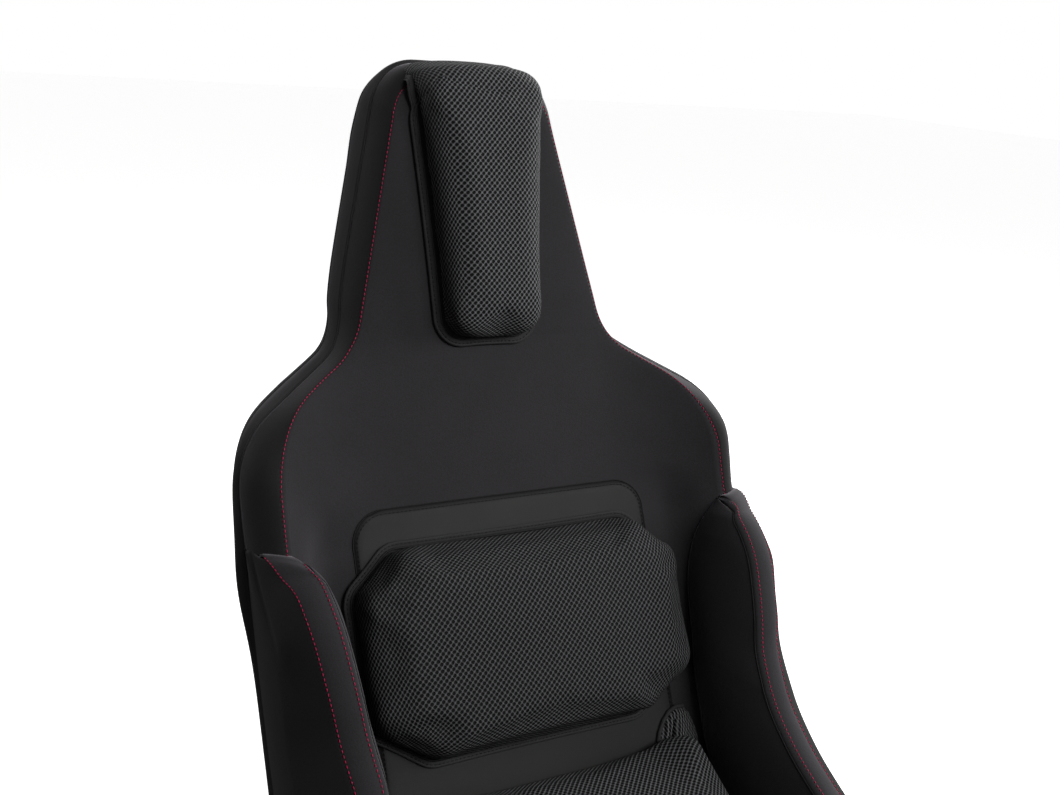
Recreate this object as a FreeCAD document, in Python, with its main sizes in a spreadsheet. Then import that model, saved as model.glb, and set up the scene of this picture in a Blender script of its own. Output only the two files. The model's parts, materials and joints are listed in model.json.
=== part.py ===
"""Racing seat: a fixed, one-piece upholstered bucket on a tube frame, with three loose pads.

Frame of the part: +X to the sitter's left, the seat faces -Y, +Z is up. The origin is the centre of
the bottom mounting pattern, on the underside of the two mount rails.
"""
import FreeCAD, Part
import math
import os
import Sketcher

V = FreeCAD.Vector
X_AXIS = V(1, 0, 0)
Y_AXIS = V(0, 1, 0)
Z_AXIS = V(0, 0, 1)
ORIGIN = V(0, 0, 0)

doc = FreeCAD.newDocument("RacingSeat")
sheet = doc.addObject("Spreadsheet::Sheet", "Dimensions")

# Driving dimensions in millimetres and degrees: alias, value, what it measures.
DIMENSIONS = [
    ("crease_setback", 155.0, "front of the back at the level of the base top, behind the origin"),
    ("base_top_height", 92.0, "top of the upholstered base, under the cushion"),
    ("lumbar_recline", 25.7, "lean of the back up to the upper bend"),
    ("upper_recline", 20.7, "lean between the upper bend and the neck"),
    ("head_recline", 14.9, "lean of the head"),
    ("upper_bend_height", 411.0, "height of the upper bend in the back"),
    ("neck_height", 566.0, "height of the neck corner in the outline"),
    ("head_top_height", 843.0, "top of the upholstered head"),
    ("head_taper", 14.0, "lean of the head's sides towards each other"),
    ("neck_half_width", 147.0, "centre plane to the neck corner of the stitched outline"),
    ("shoulder_half_width", 256.5, "centre plane to the stitched outline under the shoulder"),
    ("shoulder_height", 503.0, "height of the shoulder corner in the outline"),
    ("neck_radius", 38.0, "round of the neck corner"),
    ("shoulder_radius", 75.0, "round of the shoulder corner"),
    ("head_corner_radius", 58.0, "round of the head's top corners"),
    ("wing_start", 130.0, "centre plane to where the back starts to wrap forward"),
    ("wing_radius", 176.0, "radius of the forward wrap of the shoulders"),
    ("back_thickness", 73.0, "front to rear of the back, along the length of the seat"),
    ("head_edge_width", 16.0, "stitch to side seam at the head, sideways"),
    ("head_edge_depth", 23.0, "stitch to side seam at the head, rearwards"),
    ("shoulder_edge_width", 27.0, "stitch to side seam at the shoulder, sideways"),
    ("shoulder_edge_depth", 41.0, "stitch to side seam at the shoulder, rearwards"),
    ("rear_corner_radius", 12.0, "round where the sides turn into the rear cover"),
    ("head_top_round", 12.0, "how far the head's front draws in at its top"),
    ("head_rear_round", 22.0, "how far the head's rear draws in at its top"),
    ("head_foam_gap", 20.0, "foam's top below the top of the head"),
    ("cover_thickness", 3.0, "sewn cover with its backing"),
    ("frame_space", 33.0, "room for the tubes between foam and rear cover"),
    ("skirt_height", 28.0, "lower edge of the covers above the floor"),
    ("bolster_top_height", 400.0, "height of the pointed bolster tips"),
    ("bolster_tip_reach", 44.6, "tip of a bolster ahead of its rear"),
    ("bolster_waist_setback", 148.0, "front edge of a bolster where it turns downwards"),
    ("bolster_waist_share", 0.4516, "height of that place between hip and tip"),
    ("bolster_brow_fall", 7.0, "brow of a bolster's edge ahead of the middle of tip and waist"),
    ("bolster_brow_share", 0.265, "the brow above that middle, as a share of the tip over the waist"),
    ("bolster_hip_setback", 120.0, "front edge of a bolster beside the hip"),
    ("bolster_hip_height", 276.0, "height of that place"),
    ("bolster_sweep_in", 13.0, "curve from hip to valley behind their middle"),
    ("bolster_sweep_fall", 18.0, "the same curve below that middle"),
    ("bolster_valley_reach", 45.0, "lowest place of a bolster's edge ahead of the origin"),
    ("bolster_valley_height", 160.0, "height of the lowest place"),
    ("bolster_crest_reach", 195.0, "highest place of the thigh support ahead of the origin"),
    ("bolster_crest_height", 182.0, "height of the thigh support"),
    ("nose_reach", 285.0, "front of the base ahead of the origin"),
    ("nose_height", 112.0, "height where the nose turns straight down"),
    ("base_nose_step", 14.0, "front of the base behind the bolsters' noses"),
    ("base_nose_radius", 26.0, "round of the base's front edge"),
    ("bolster_root_half_width", 203.0, "centre plane to the root of a bolster's inner panel"),
    ("bolster_seam_half_width", 221.0, "centre plane to the seam of a bolster's band"),
    ("bolster_stitch_half_width", 252.0, "centre plane to the outer edge of a bolster's band"),
    ("bolster_lean", 0.06, "how much a bolster's band spreads outwards for each unit of height"),
    ("bolster_brink_forward_share", 0.722, "place of the brink between crest and nose, forwards"),
    ("bolster_brink_down_share", 0.294, "the same downwards"),
    ("bolster_tip_draw", 0.6, "share of the drop that the tip takes"),
    ("bolster_brink_draw", 0.8, "share of the drop that the brink takes"),
    ("bolster_nose_draw", 0.25, "share of the drop that the nose takes"),
    ("bolster_root_drop", 56.0, "root of the inner panel below the band, square to the edge"),
    ("bolster_outer_drop", 28.0, "outer side below the band, square to the edge"),
    ("tube_diameter", 25.0, "frame tube"),
    ("tube_wall", 2.0, "wall of the frame tube"),
    ("hoop_gap", 3.0, "air between the hoop and the rear cover"),
    ("hoop_half_width", 238.0, "centre plane to the hoop's side tubes"),
    ("hoop_neck_half_width", 118.0, "centre plane to the hoop's neck bend"),
    ("hoop_head_half_width", 62.0, "centre plane to the hoop's top bend"),
    ("hoop_top_gap", 42.0, "hoop's top below the top of the head"),
    ("hoop_bend_radius", 55.0, "bends of the hoop"),
    ("frame_front_reach", 228.0, "front cross member ahead of the origin"),
    ("frame_corner_radius", 60.0, "corner bends of the base frame"),
    ("rear_tube_setback", 112.0, "rear cross tube behind the origin"),
    ("bracket_thickness", 4.0, "corner bracket plate"),
    ("bracket_reach", 44.0, "corner bracket along the base"),
    ("bracket_rise", 50.0, "corner bracket up the hoop"),
    ("frame_bolt_diameter", 8.0, "bolts of the corner brackets"),
    ("frame_bolt_head", 13.0, "across the flats of their heads and nuts"),
    ("frame_bolt_head_height", 5.5, "height of a bolt head"),
    ("pan_thickness", 1.5, "pressed steel seat pan"),
    ("pan_half_width", 250.0, "centre plane to the pan's side"),
    ("pan_front_reach", 236.0, "front of the pan ahead of the origin"),
    ("pan_rear_setback", 118.0, "rear of the pan behind the origin"),
    ("pan_hole_diameter", 46.0, "lightening holes"),
    ("pan_hole_pitch", 96.0, "lightening holes, one to the next"),
    ("pan_hole_shift", 58.0, "centre of the grid of holes ahead of the origin"),
    ("frame_end_gap", 5.0, "base frame's rear ends inside the hoop's rear"),
    ("cope_rise", 1.0, "coped foot of the hoop above the base frame's middle"),
    ("bracket_margin", 4.0, "bracket's rear corner inside the frame's end"),
    ("bracket_half_height", 8.0, "half of the bracket's height along the base"),
    ("bracket_bolt_inset", 15.0, "bolts inside the bracket's ends"),
    ("rivet_front_reach", 140.0, "foremost side rivets ahead of the origin"),
    ("rivet_spacing_along", 90.0, "side rivets, one to the next"),
    ("rivet_spacing_across", 110.0, "front rivets, one to the next"),
    ("rivet_diameter", 5.0, "pan rivets"),
    ("rivet_head_diameter", 10.0, "heads of the pan rivets"),
    ("rivet_head_height", 1.6, "height of a rivet head"),
    ("rail_width", 40.0, "mount rail, sideways"),
    ("rail_height", 25.0, "mount rail, upwards"),
    ("rail_wall", 3.0, "wall of a mount rail"),
    ("rail_front_reach", 245.0, "front end of the rails ahead of the origin"),
    ("rail_rear_setback", 215.0, "rear end of the rails behind the origin"),
    ("mount_spacing_across", 340.0, "bottom mounting holes, side to side"),
    ("mount_spacing_along", 290.0, "bottom mounting holes, front to rear"),
    ("mount_thread_diameter", 8.0, "thread of the weld nuts"),
    ("mount_hole_diameter", 10.5, "holes in the rails for the collars of the nuts"),
    ("mount_nut_flats", 13.0, "weld nut across its flats"),
    ("mount_nut_height", 8.0, "height of a weld nut"),
    ("bolster_rod_diameter", 8.0, "bent rod that stiffens a bolster"),
    ("bolster_rod_depth", 30.0, "rod behind the bolster's edge"),
    ("bolster_rod_half_width", 240.0, "centre plane to the bolster rod"),
    ("bolster_rod_rise", 28.0, "rod's rear end above the waist"),
    ("bolster_rod_bend", 24.0, "end bends of the bolster rod"),
    ("bolster_rod_sweep", 60.0, "middle bend of the bolster rod"),
    ("bolster_rod_landing", 10.0, "front end of the bolster rod ahead of the origin"),
    ("strap_width", 38.0, "elastic webbing strap"),
    ("strap_thickness", 2.0, "webbing thickness"),
    ("strap_pitch", 62.0, "straps, one to the next along the back"),
    ("strap_first_height", 114.0, "lowest strap"),
    ("strap_count", 5.0, "number of straps"),
    ("hook_arm_width", 8.0, "arm of a strap's hook"),
    ("hook_clearance", 0.5, "hook beside its strap"),
    ("hook_wire_diameter", 4.0, "wire hooks of the straps"),
    ("loop_panel_half_width", 174.0, "centre plane to the side of the loop panel"),
    ("loop_panel_top_height", 400.0, "top edge of the loop panel"),
    ("loop_panel_thickness", 2.0, "loop panel"),
    ("loop_panel_corner_radius", 32.0, "round of its top corners"),
    ("loop_panel_front_reach", 235.0, "front edge of the loop panel ahead of the origin"),
    ("crease_radius", 12.0, "bend of the loop panel in the crease"),
    ("cloth_thickness", 1.0, "dust cloth on the underside"),
    ("cloth_hem", 6.0, "dust cloth's front behind the rails' ends"),
    ("seat_gap", 0.3, "running clearance under a pad"),
    ("pad_cover_thickness", 4.0, "spacer mesh with its lining"),
    ("pad_backing_thickness", 2.5, "backing cloth of a pad"),
    ("hook_patch_thickness", 1.5, "hook patch behind a pad"),
    ("pad_flange_width", 8.0, "sewn flange round a pad"),
    ("head_pad_bottom_drop", 4.0, "flange bottom of the head pad below the neck corner"),
    ("head_pad_top_drop", 7.0, "top of the head pad below the head's top"),
    ("head_pad_bottom_half_width", 50.0, "head pad at its lower end"),
    ("head_pad_top_half_width", 68.0, "head pad at its upper end"),
    ("head_pad_thickness", 34.0, "head pad over its crown"),
    ("head_pad_corner_radius", 20.0, "corners of the head pad"),
    ("head_pad_crown", 8.0, "how far in the head pad's face turns over to its sides"),
    ("head_pad_foot_share", 3.0, "share of that for its lower end"),
    ("head_patch_margin", 60.0, "head pad's hook patch inside its ends"),
    ("head_patch_inset", 12.0, "the same inside its sides"),
    ("hood_thickness", 4.0, "hood of the head pad over the head"),
    ("hood_front_reach", 36.0, "hood's front edge ahead of the head's top"),
    ("hood_drop", 80.0, "hood down the rear of the head"),
    ("lumbar_pad_bottom_height", 185.0, "lower edge of the lumbar pad"),
    ("lumbar_pad_top_height", 374.0, "upper edge of the lumbar pad"),
    ("lumbar_pad_half_width", 185.0, "centre plane to the side of the lumbar pad"),
    ("lumbar_pad_thickness", 60.0, "lumbar pad over its crown"),
    ("lumbar_chamfer_across", 45.0, "upper corner cut of the lumbar pad, sideways"),
    ("lumbar_foot_chamfer_across", 62.0, "lower corner cut, sideways"),
    ("lumbar_chamfer_up", 40.0, "corner cuts of the lumbar pad, along the back"),
    ("lumbar_pad_corner_radius", 8.0, "corners of the lumbar pad"),
    ("lumbar_pad_crown", 38.0, "how far in the lumbar pad's face turns over to its top"),
    ("lumbar_side_share", 0.35, "share of that for its sides"),
    ("lumbar_foot_share", 0.45, "share of that for its lower edge"),
    ("lumbar_patch_margin", 30.0, "lumbar pad's hook patch inside its ends"),
    ("lumbar_patch_inset", 60.0, "the same inside its sides"),
    ("cushion_half_width", 170.0, "centre plane to the side of the base cushion"),
    ("cushion_front_half_width", 164.0, "the same at its front"),
    ("cushion_front_reach", 238.0, "front of the base cushion ahead of the origin"),
    ("cushion_thickness", 62.0, "base cushion over its crown"),
    ("cushion_corner_radius", 34.0, "corners of the base cushion"),
    ("cushion_crown", 30.0, "how far in the base cushion's face turns over to its sides"),
    ("cushion_crease_gap", 8.5, "rear of the base cushion ahead of the back at its foot"),
    ("cushion_patch_margin", 60.0, "base cushion's hook patch inside its ends"),
    ("cushion_patch_inset", 50.0, "the same inside its sides"),
    ("side_draw", 3.0, "how far a pad's sides pull in between its corners"),
    ("flange_draw", 1.0, "the same for a flange"),
    ("draw_span", 80.0, "a side this long or longer pulls in fully"),
    ("side_swell", 3.0, "how far a pad's sides swell beyond its seam"),
    ("cushion_rear_lean", 29.0, "lean of the base cushion's rear"),
    ("cushion_rear_share", 0.2, "share of the crown that the cushion's rear edge takes"),
    ("cushion_seam_width", 2.0, "seam round the base cushion's backing"),
]
for row, (alias, value, meaning) in enumerate(DIMENSIONS, start=1):
    sheet.set("A%d" % row, alias)
    sheet.set("B%d" % row, str(value))
    sheet.set("C%d" % row, meaning)
    sheet.setAlias("B%d" % row, alias)
doc.recompute()


class Sizes:
    """The driving dimensions by name, read from the sheet."""

    def __getattr__(self, name):
        return float(sheet.get(name))


size = Sizes()
pieces = []


def tangent(degrees):
    return math.tan(math.radians(degrees))


def keep(feature, label):
    """Names a finished sub-part and puts it on the list of files."""
    feature.Label = label
    pieces.append(feature)
    return feature


def feature_from(label, shape, placement=None):
    """A sub-part whose shape comes from sections or paths that read the sheet."""
    feature = doc.addObject("Part::Feature", label)
    feature.Shape = shape
    feature.Placement = placement or FreeCAD.Placement()
    return keep(feature, label)


def both_sides(label, shape):
    """A sub-part and its mirror image across the centre plane; shape is the one on +X."""
    feature_from(label + "_left", shape)
    feature_from(label + "_right", shape.mirror(ORIGIN, X_AXIS))


# Edges, chains and rounded paths


def edge(points):
    """A line through two points, or an arc through three that aren't in line."""
    if len(points) == 3:
        across = (points[1] - points[0]).cross(points[2] - points[0])
        if across.Length > 1e-3 * (points[2] - points[0]).Length:
            return Part.Arc(*points).toShape()
    return Part.makeLine(points[0], points[-1])


def backwards(chain):
    return [tuple(reversed(points)) for points in reversed(chain)]


def mirrored(chain):
    """The chain on the other side of the centre plane, run the other way."""
    return backwards([tuple(V(-p.x, p.y, p.z) for p in points) for points in chain])


def wire_of(chain):
    return Part.Wire([edge(points) for points in chain])


def ribbon_chain(outer, inner):
    """Closed chain along an outer chain and back along the inner chain that runs beside it."""
    start = (inner[0][0], outer[0][0])
    end = (outer[-1][-1], inner[-1][-1])
    return outer + [end] + backwards(inner) + [start]


def ribbon(outer, inner):
    return wire_of(ribbon_chain(outer, inner))


def ruled_solid(chains):
    """A solid whose sides run straight from each edge of a flat closed chain to the next chain's."""
    faces = [Part.Face(wire_of(chains[0])), Part.Face(wire_of(chains[-1]))]
    for first, second in zip(chains, chains[1:]):
        for a, b in zip(first, second):
            faces.append(Part.makeRuledSurface(edge(a), edge(b)))
    shell = Part.makeShell(faces)
    shell.sewShape()
    solid = Part.makeSolid(shell)
    return solid.reversed() if solid.Volume < 0 else solid


def rounded_path(points, radii, steps):
    """Points of a path in a plane whose corners are rounded; each arc is given by its steps."""
    path = [points[0]]
    for before, corner, after, radius in zip(points, points[1:], points[2:], radii):
        back = (before - corner).normalize()
        onward = (after - corner).normalize()
        half = back.getAngle(onward) / 2
        centre = corner + (back + onward).normalize() * (radius / math.sin(half))
        start = corner + back * (radius / math.tan(half)) - centre
        normal = back.cross(onward).normalize()
        turn = math.pi - 2 * half
        for step in range(steps + 1):
            spin = FreeCAD.Rotation(normal, -math.degrees(turn * step / steps))
            path.append(centre + spin.multVec(start))
    return path + [points[-1]]


def arc_path(points, radii):
    """A wire through the points with tangent arcs of the given radii at the inner ones."""
    edges = []
    start = points[0]
    for before, corner, after, radius in zip(points, points[1:], points[2:], radii):
        back = (before - corner).normalize()
        onward = (after - corner).normalize()
        half = back.getAngle(onward) / 2
        reach = radius / math.tan(half)
        centre = corner + (back + onward).normalize() * (radius / math.sin(half))
        first = corner + back * reach
        last = corner + onward * reach
        middle = centre + (corner - centre).normalize() * radius
        edges.append(Part.makeLine(start, first))
        edges.append(Part.Arc(first, middle, last).toShape())
        start = last
    edges.append(Part.makeLine(start, points[-1]))
    return Part.Wire(edges)


def rod(path, diameter):
    """A round bar along a path."""
    start = path.Edges[0].valueAt(path.Edges[0].FirstParameter)
    heading = path.Edges[0].tangentAt(path.Edges[0].FirstParameter)
    ring = Part.Wire([Part.makeCircle(diameter / 2, start, heading)])
    return path.makePipeShell([ring], True, False)


def tube(path):
    """A frame tube along a path, open at both ends."""
    return rod(path, size.tube_diameter).cut(rod(path, size.tube_diameter - 2 * size.tube_wall))


def prism(profile, half_width):
    """A profile in the YZ plane, given as (y, z) rows of a chain, drawn across the seat."""
    chain = [tuple(V(-half_width, y, z) for y, z in points) for points in profile]
    return Part.Face(wire_of(chain)).extrude(X_AXIS * 2 * half_width)


def polygon_chain(points):
    """A closed chain of lines through (y, z) points."""
    return [(a, b) for a, b in zip(points, points[1:] + points[:1])]


# The back's surfaces

# Widest share of a section that stays flat in its middle
FLAT_SHARE = 0.8
# How far a section's stitch moves in for each unit of depth
STITCH_EASE = 0.35


def back_line(height):
    """Where the back's front surface lies on the centre plane at a height, as a Y value."""
    lumbar = max(min(height, size.upper_bend_height) - size.base_top_height, 0)
    upper = min(max(height - size.upper_bend_height, 0), size.neck_height - size.upper_bend_height)
    head = max(height - size.neck_height, 0)
    lean = lumbar * tangent(size.lumbar_recline) + upper * tangent(size.upper_recline)
    return size.crease_setback + lean + head * tangent(size.head_recline)


def wrap(across, radius):
    """How far a surface that wraps forward from the wing start has come, at a half-width."""
    run = max(across - size.wing_start, 0)
    return radius - math.sqrt(radius ** 2 - run ** 2)


def top_draw(height, radius):
    """How far a face of the head has drawn in at a height, as it rounds over the top."""
    rise = max(height - (size.head_top_height - radius), 0)
    return radius - math.sqrt(max(radius ** 2 - rise ** 2, 0))


def outline_stations(low):
    """Heights and half-widths of the stitched outline from a low height to the head's top."""
    head_rise = size.head_top_height - size.neck_height
    head_half_width = size.neck_half_width - head_rise * tangent(size.head_taper)
    corners = [
        V(size.shoulder_half_width, 0, low),
        V(size.shoulder_half_width, 0, size.shoulder_height),
        V(size.neck_half_width, 0, size.neck_height),
        V(head_half_width, 0, size.head_top_height),
        V(0, 0, size.head_top_height),
    ]
    radii = [size.shoulder_radius, size.neck_radius, size.head_corner_radius]
    points = rounded_path(corners, radii, 4)[:-1]
    stations = [(p.z, p.x) for p in points]
    for bend in bends_above(low):
        stations = cut_short(stations, bend) + [station for station in stations if station[0] > bend]
    return stations


def bends_above(low):
    """Heights above a low one where the back's front surface bends below the neck."""
    return [bend for bend in (size.base_top_height, size.upper_bend_height) if bend > low]


def cut_short(stations, top):
    """The stations below a height, and one at that height between its neighbours."""
    lower = [station for station in stations if station[0] < top]
    above = next(station for station in stations if station[0] >= top)
    share = (top - lower[-1][0]) / (above[0] - lower[-1][0])
    return lower + [(top, lower[-1][1] + share * (above[1] - lower[-1][1]))]


class Station:
    """One level section of the back: named chains of its outer surface, drawn in by a depth."""

    def __init__(self, height, half_width):
        self.height = height
        self.half_width = half_width
        share = (half_width - size.wing_start) / (size.shoulder_half_width - size.wing_start)
        share = min(max(share, 0), 1) ** 2
        self.edge_width = size.head_edge_width
        self.edge_width += share * (size.shoulder_edge_width - size.head_edge_width)
        self.edge_depth = size.head_edge_depth
        self.edge_depth += share * (size.shoulder_edge_depth - size.head_edge_depth)
        self.front = back_line(height) + top_draw(height, size.head_top_round)
        self.rear = back_line(height) + size.back_thickness - top_draw(height, size.head_rear_round)
        self.flat = min(size.wing_start, half_width * FLAT_SHARE)
        self.side = half_width + self.edge_width
        self.rear_radius = size.wing_radius + size.back_thickness

    def at(self, across, along):
        return V(across, along, self.height)

    def front_half(self, depth):
        """From the centre's flat to the stitch."""
        end = self.half_width - STITCH_EASE * depth
        middle = (self.flat + end) / 2
        rows = [(across, self.front + depth - wrap(across, size.wing_radius))
                for across in (self.flat, middle, end)]
        return [tuple(self.at(*row) for row in rows)]

    def edge_half(self, depth):
        """The roll from the stitch to the side seam."""
        start = self.front_half(depth)[-1][-1]
        stitch = self.front - wrap(self.half_width, size.wing_radius)
        bulge = math.sqrt(0.5)
        middle = self.at(self.half_width + bulge * (self.edge_width - depth),
                         stitch + (1 - bulge) * self.edge_depth + bulge * depth)
        end = self.at(self.side - depth, stitch + self.edge_depth)
        return [(start, middle, end)]

    def gusset_half(self, depth, space=0.0):
        """The side from the seam to the rear corner."""
        start = self.edge_half(depth)[-1][-1]
        corner = self.side - size.rear_corner_radius
        rear = self.rear - wrap(corner, self.rear_radius) - space
        return [(start, self.at(self.side - depth, rear - size.rear_corner_radius))]

    def rear_half(self, depth, space=0.0):
        """Round the rear corner and in to the centre's flat."""
        start = self.gusset_half(depth, space)[-1][-1]
        radius = size.rear_corner_radius
        corner = self.side - radius
        rear = self.rear - space
        edge_y = rear - wrap(corner, self.rear_radius) - depth
        bulge = math.sqrt(0.5)
        turn = self.at(corner + bulge * (radius - depth), edge_y + depth - radius + bulge * (radius - depth))
        end = self.at(corner, edge_y)
        middle = (corner + self.flat) / 2
        inner = self.at(middle, rear - wrap(middle, self.rear_radius) - depth)
        flat = self.at(self.flat, rear - depth)
        return [(start, turn, end), (end, inner, flat)]

    def front_chain(self, depth):
        half = self.front_half(depth)
        centre = (self.at(-self.flat, half[0][0].y), half[0][0])
        return mirrored(half) + [centre] + half

    def rear_chain(self, depth, space=0.0):
        half = self.rear_half(depth, space)
        centre = (half[-1][-1], self.at(-self.flat, half[-1][-1].y))
        return half + [centre] + mirrored(half)


def level_loft(stations, section):
    """A solid through the closed sections of a row of stations."""
    return Part.makeLoft([section(Station(*station)) for station in stations], True, True)


def make_back_covers():
    upper = outline_stations(size.bolster_top_height)
    whole = outline_stations(size.skirt_height)
    cover = size.cover_thickness
    front = level_loft(upper, lambda s: ribbon(s.front_chain(0), s.front_chain(cover)))
    lower = prism(back_slab(size.skirt_height, 0, cover), size.bolster_root_half_width)
    feature_from("back_front_cover", front.fuse(lower).removeSplitter())
    both_sides("back_edge_panel", level_loft(upper, lambda s: ribbon(s.edge_half(0), s.edge_half(cover))))
    both_sides("back_gusset", level_loft(whole, lambda s: ribbon(s.gusset_half(0), s.gusset_half(cover))))
    feature_from("rear_cover", level_loft(whole, lambda s: ribbon(s.rear_chain(0), s.rear_chain(cover))))


def back_slab(low, front_depth, rear_depth):
    """Profile of a slab in the lower back between two depths behind its front surface."""
    top = size.bolster_top_height
    heights = [low] + [bend for bend in bends_above(low) if bend < top] + [top]
    front = [(back_line(height) + front_depth, height) for height in heights]
    rear = [(back_line(height) + rear_depth, height) for height in reversed(heights)]
    return polygon_chain(front + rear)


def foam_section(station):
    cover = size.cover_thickness
    space = size.frame_space
    half = station.front_half(cover) + station.edge_half(cover)
    half = half + station.gusset_half(cover, space) + station.rear_half(cover, space)
    centre_front = (V(-half[0][0].x, half[0][0].y, half[0][0].z), half[0][0])
    centre_rear = (half[-1][-1], V(-half[-1][-1].x, half[-1][-1].y, half[-1][-1].z))
    return wire_of([centre_front] + half + [centre_rear] + mirrored(half))


def foam_rear_depth():
    """Depth of the foam's rear behind the back's front surface, beside the bolster roots."""
    rear = size.back_thickness - wrap(size.bolster_root_half_width, size.wing_radius + size.back_thickness)
    return rear - size.cover_thickness - size.frame_space


def make_back_foam():
    top = size.head_top_height - size.head_foam_gap
    stations = cut_short(outline_stations(size.bolster_top_height), top)
    upper = level_loft(stations, foam_section)
    base = size.tube_diameter + size.rail_height + size.pan_thickness
    slab = prism(back_slab(base, size.cover_thickness, foam_rear_depth()), size.bolster_root_half_width)
    foam = upper.fuse(slab).removeSplitter()
    feature_from("back_foam", biggest(foam.cut(rod(hoop_path(), size.tube_diameter))))


# The bolsters


# Directions into a bolster from its edge, in side view: rearwards and upwards
REARWARD = (1.0, 0.0)
DOWNWARD = (0.0, -1.0)
STEEP = (0.87, -0.5)
SLANT = (0.6, -0.8)


def waist_height():
    """Height where a bolster's front edge turns downwards."""
    return between(size.bolster_hip_height, size.bolster_top_height, size.bolster_waist_share)


def between(first, last, share):
    return first + share * (last - first)


def bolster_edge(across, drop, lean, low, thin=0.0):
    """A bolster's front outline in a plane near a half-width, from its nape round to its toe."""
    def at(y, z, inward, share=1.0):
        depth = share * drop + thin
        level = z + inward[1] * depth
        return V(across + lean * (level - size.bolster_hip_height), y + inward[0] * depth, level)

    top = size.bolster_top_height
    waist_z = waist_height()
    tip_y = back_line(top) + bolster_rear() - size.bolster_tip_reach
    valley_y = -size.bolster_valley_reach
    valley_z = size.bolster_valley_height
    crest_y = -size.bolster_crest_reach
    crest_z = size.bolster_crest_height
    tip = at(tip_y, top - thin, REARWARD, size.bolster_tip_draw)
    nape = V(tip.x, back_line(top - thin) + bolster_rear(), top - thin)
    brow = at(between(tip_y, size.bolster_waist_setback, 0.5) - size.bolster_brow_fall,
              between(top, waist_z, 0.5) + size.bolster_brow_share * (top - waist_z), SLANT)
    waist = at(size.bolster_waist_setback, waist_z, STEEP)
    hip = at(size.bolster_hip_setback, size.bolster_hip_height, STEEP)
    sweep = at(between(size.bolster_hip_setback, valley_y, 0.5) + size.bolster_sweep_in,
               between(size.bolster_hip_height, valley_z, 0.5) - size.bolster_sweep_fall, SLANT)
    valley = at(valley_y, valley_z, DOWNWARD)
    thigh = at(between(valley_y, crest_y, 0.5), between(valley_z, crest_z, 0.5), DOWNWARD)
    crest = at(crest_y, crest_z, DOWNWARD)
    brink = at(between(crest_y, -size.nose_reach, size.bolster_brink_forward_share),
               between(crest_z, size.nose_height, size.bolster_brink_down_share),
               SLANT, size.bolster_brink_draw)
    nose = at(-size.nose_reach, size.nose_height, REARWARD, size.bolster_nose_draw)
    toe = at(-size.nose_reach, low, REARWARD, size.bolster_nose_draw)
    return [(nape, tip), (tip, brow, waist), (waist, hip), (hip, sweep, valley),
            (valley, thigh, crest), (crest, brink, nose), (nose, toe)]


def bolster_rear():
    """Rear of the bolsters, measured from the back's front surface on the centre plane."""
    return size.shoulder_edge_depth - wrap(size.shoulder_half_width, size.wing_radius)


def bolster_profile(across, drop, lean, low, thin=0.0):
    """The outline closed along the underside and up the rear."""
    chain = bolster_edge(across, drop, lean, low, thin)
    toe = chain[-1][-1]
    heel = V(toe.x, back_line(low) + bolster_rear(), low)
    level = size.base_top_height
    hock = V(across + lean * (level - size.bolster_hip_height), heel.y, level)
    return chain + [(toe, heel), (heel, hock), (hock, chain[0][0])]


def bolster_rows(depth):
    """Half-width, drop and lean of a bolster's four side profiles, drawn in by a depth."""
    side = size.shoulder_half_width + size.shoulder_edge_width
    return [
        (size.bolster_root_half_width + depth, size.bolster_root_drop, 0),
        (size.bolster_seam_half_width, 0, size.bolster_lean),
        (size.bolster_stitch_half_width, 0, size.bolster_lean),
        (side - depth, size.bolster_outer_drop, 0),
    ]


def bolster_skin(rows):
    """Sewn panel over a bolster between two side profiles."""
    cover = size.cover_thickness
    low = size.skirt_height
    return ruled_solid([ribbon_chain(bolster_edge(across, drop, lean, low),
                                     bolster_edge(across, drop, lean, low, cover))
                        for across, drop, lean in rows])


def make_bolsters():
    cover = size.cover_thickness
    pan_top = size.rail_height + size.tube_diameter + size.pan_thickness
    outside = bolster_rows(0)
    inside = bolster_rows(cover)
    both_sides("bolster_inner_panel", bolster_skin(outside[0:2]))
    both_sides("bolster_band", bolster_skin(outside[1:3]))
    across, drop, lean = outside[3]
    profile = bolster_profile(across, drop, lean, size.skirt_height)
    wall = Part.Face(wire_of(profile)).extrude(X_AXIS * -cover)
    brim = bolster_skin([outside[2], (across - cover, drop, lean)])
    both_sides("bolster_outer_panel", brim.fuse(wall).removeSplitter())
    core = ruled_solid([bolster_profile(across, drop, lean, pan_top, cover)
                        for across, drop, lean in inside])
    channel = rod(bolster_rod_path(), size.bolster_rod_diameter)
    both_sides("bolster_foam", biggest(core.cut(channel).cut(rivet_domes())))
    both_sides("bolster_rod", biggest(channel.cut(rod(hoop_path(), size.tube_diameter))))


def biggest(shape):
    """The main solid of a cut."""
    return max(shape.Solids, key=lambda solid: solid.Volume)


def hoop_line(across, height):
    """Y of the hoop's centre line, just inside the rear cover."""
    radius = size.wing_radius + size.back_thickness - size.cover_thickness
    run = max(across - size.wing_start, 0)
    slant = math.sqrt(1 - (run / radius) ** 2)
    rear = back_line(height) + size.back_thickness - size.cover_thickness
    return rear - wrap(across, radius) - (size.tube_diameter / 2 + size.hoop_gap) / slant


def hoop_path():
    """Centre line of the hoop from foot to foot."""
    foot = size.rail_height + size.tube_diameter / 2 + size.cope_rise
    heights = [foot, size.base_top_height, size.upper_bend_height, size.shoulder_height, size.neck_height,
               size.head_top_height - size.hoop_top_gap]
    widths = [size.hoop_half_width] * 4 + [size.hoop_neck_half_width, size.hoop_head_half_width]
    left = [V(across, hoop_line(across, height), height) for across, height in zip(widths, heights)]
    right = [V(-p.x, p.y, p.z) for p in reversed(left)]
    radii = [size.hoop_bend_radius] * (len(left + right) - 2)
    return arc_path(left + right, radii)


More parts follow.
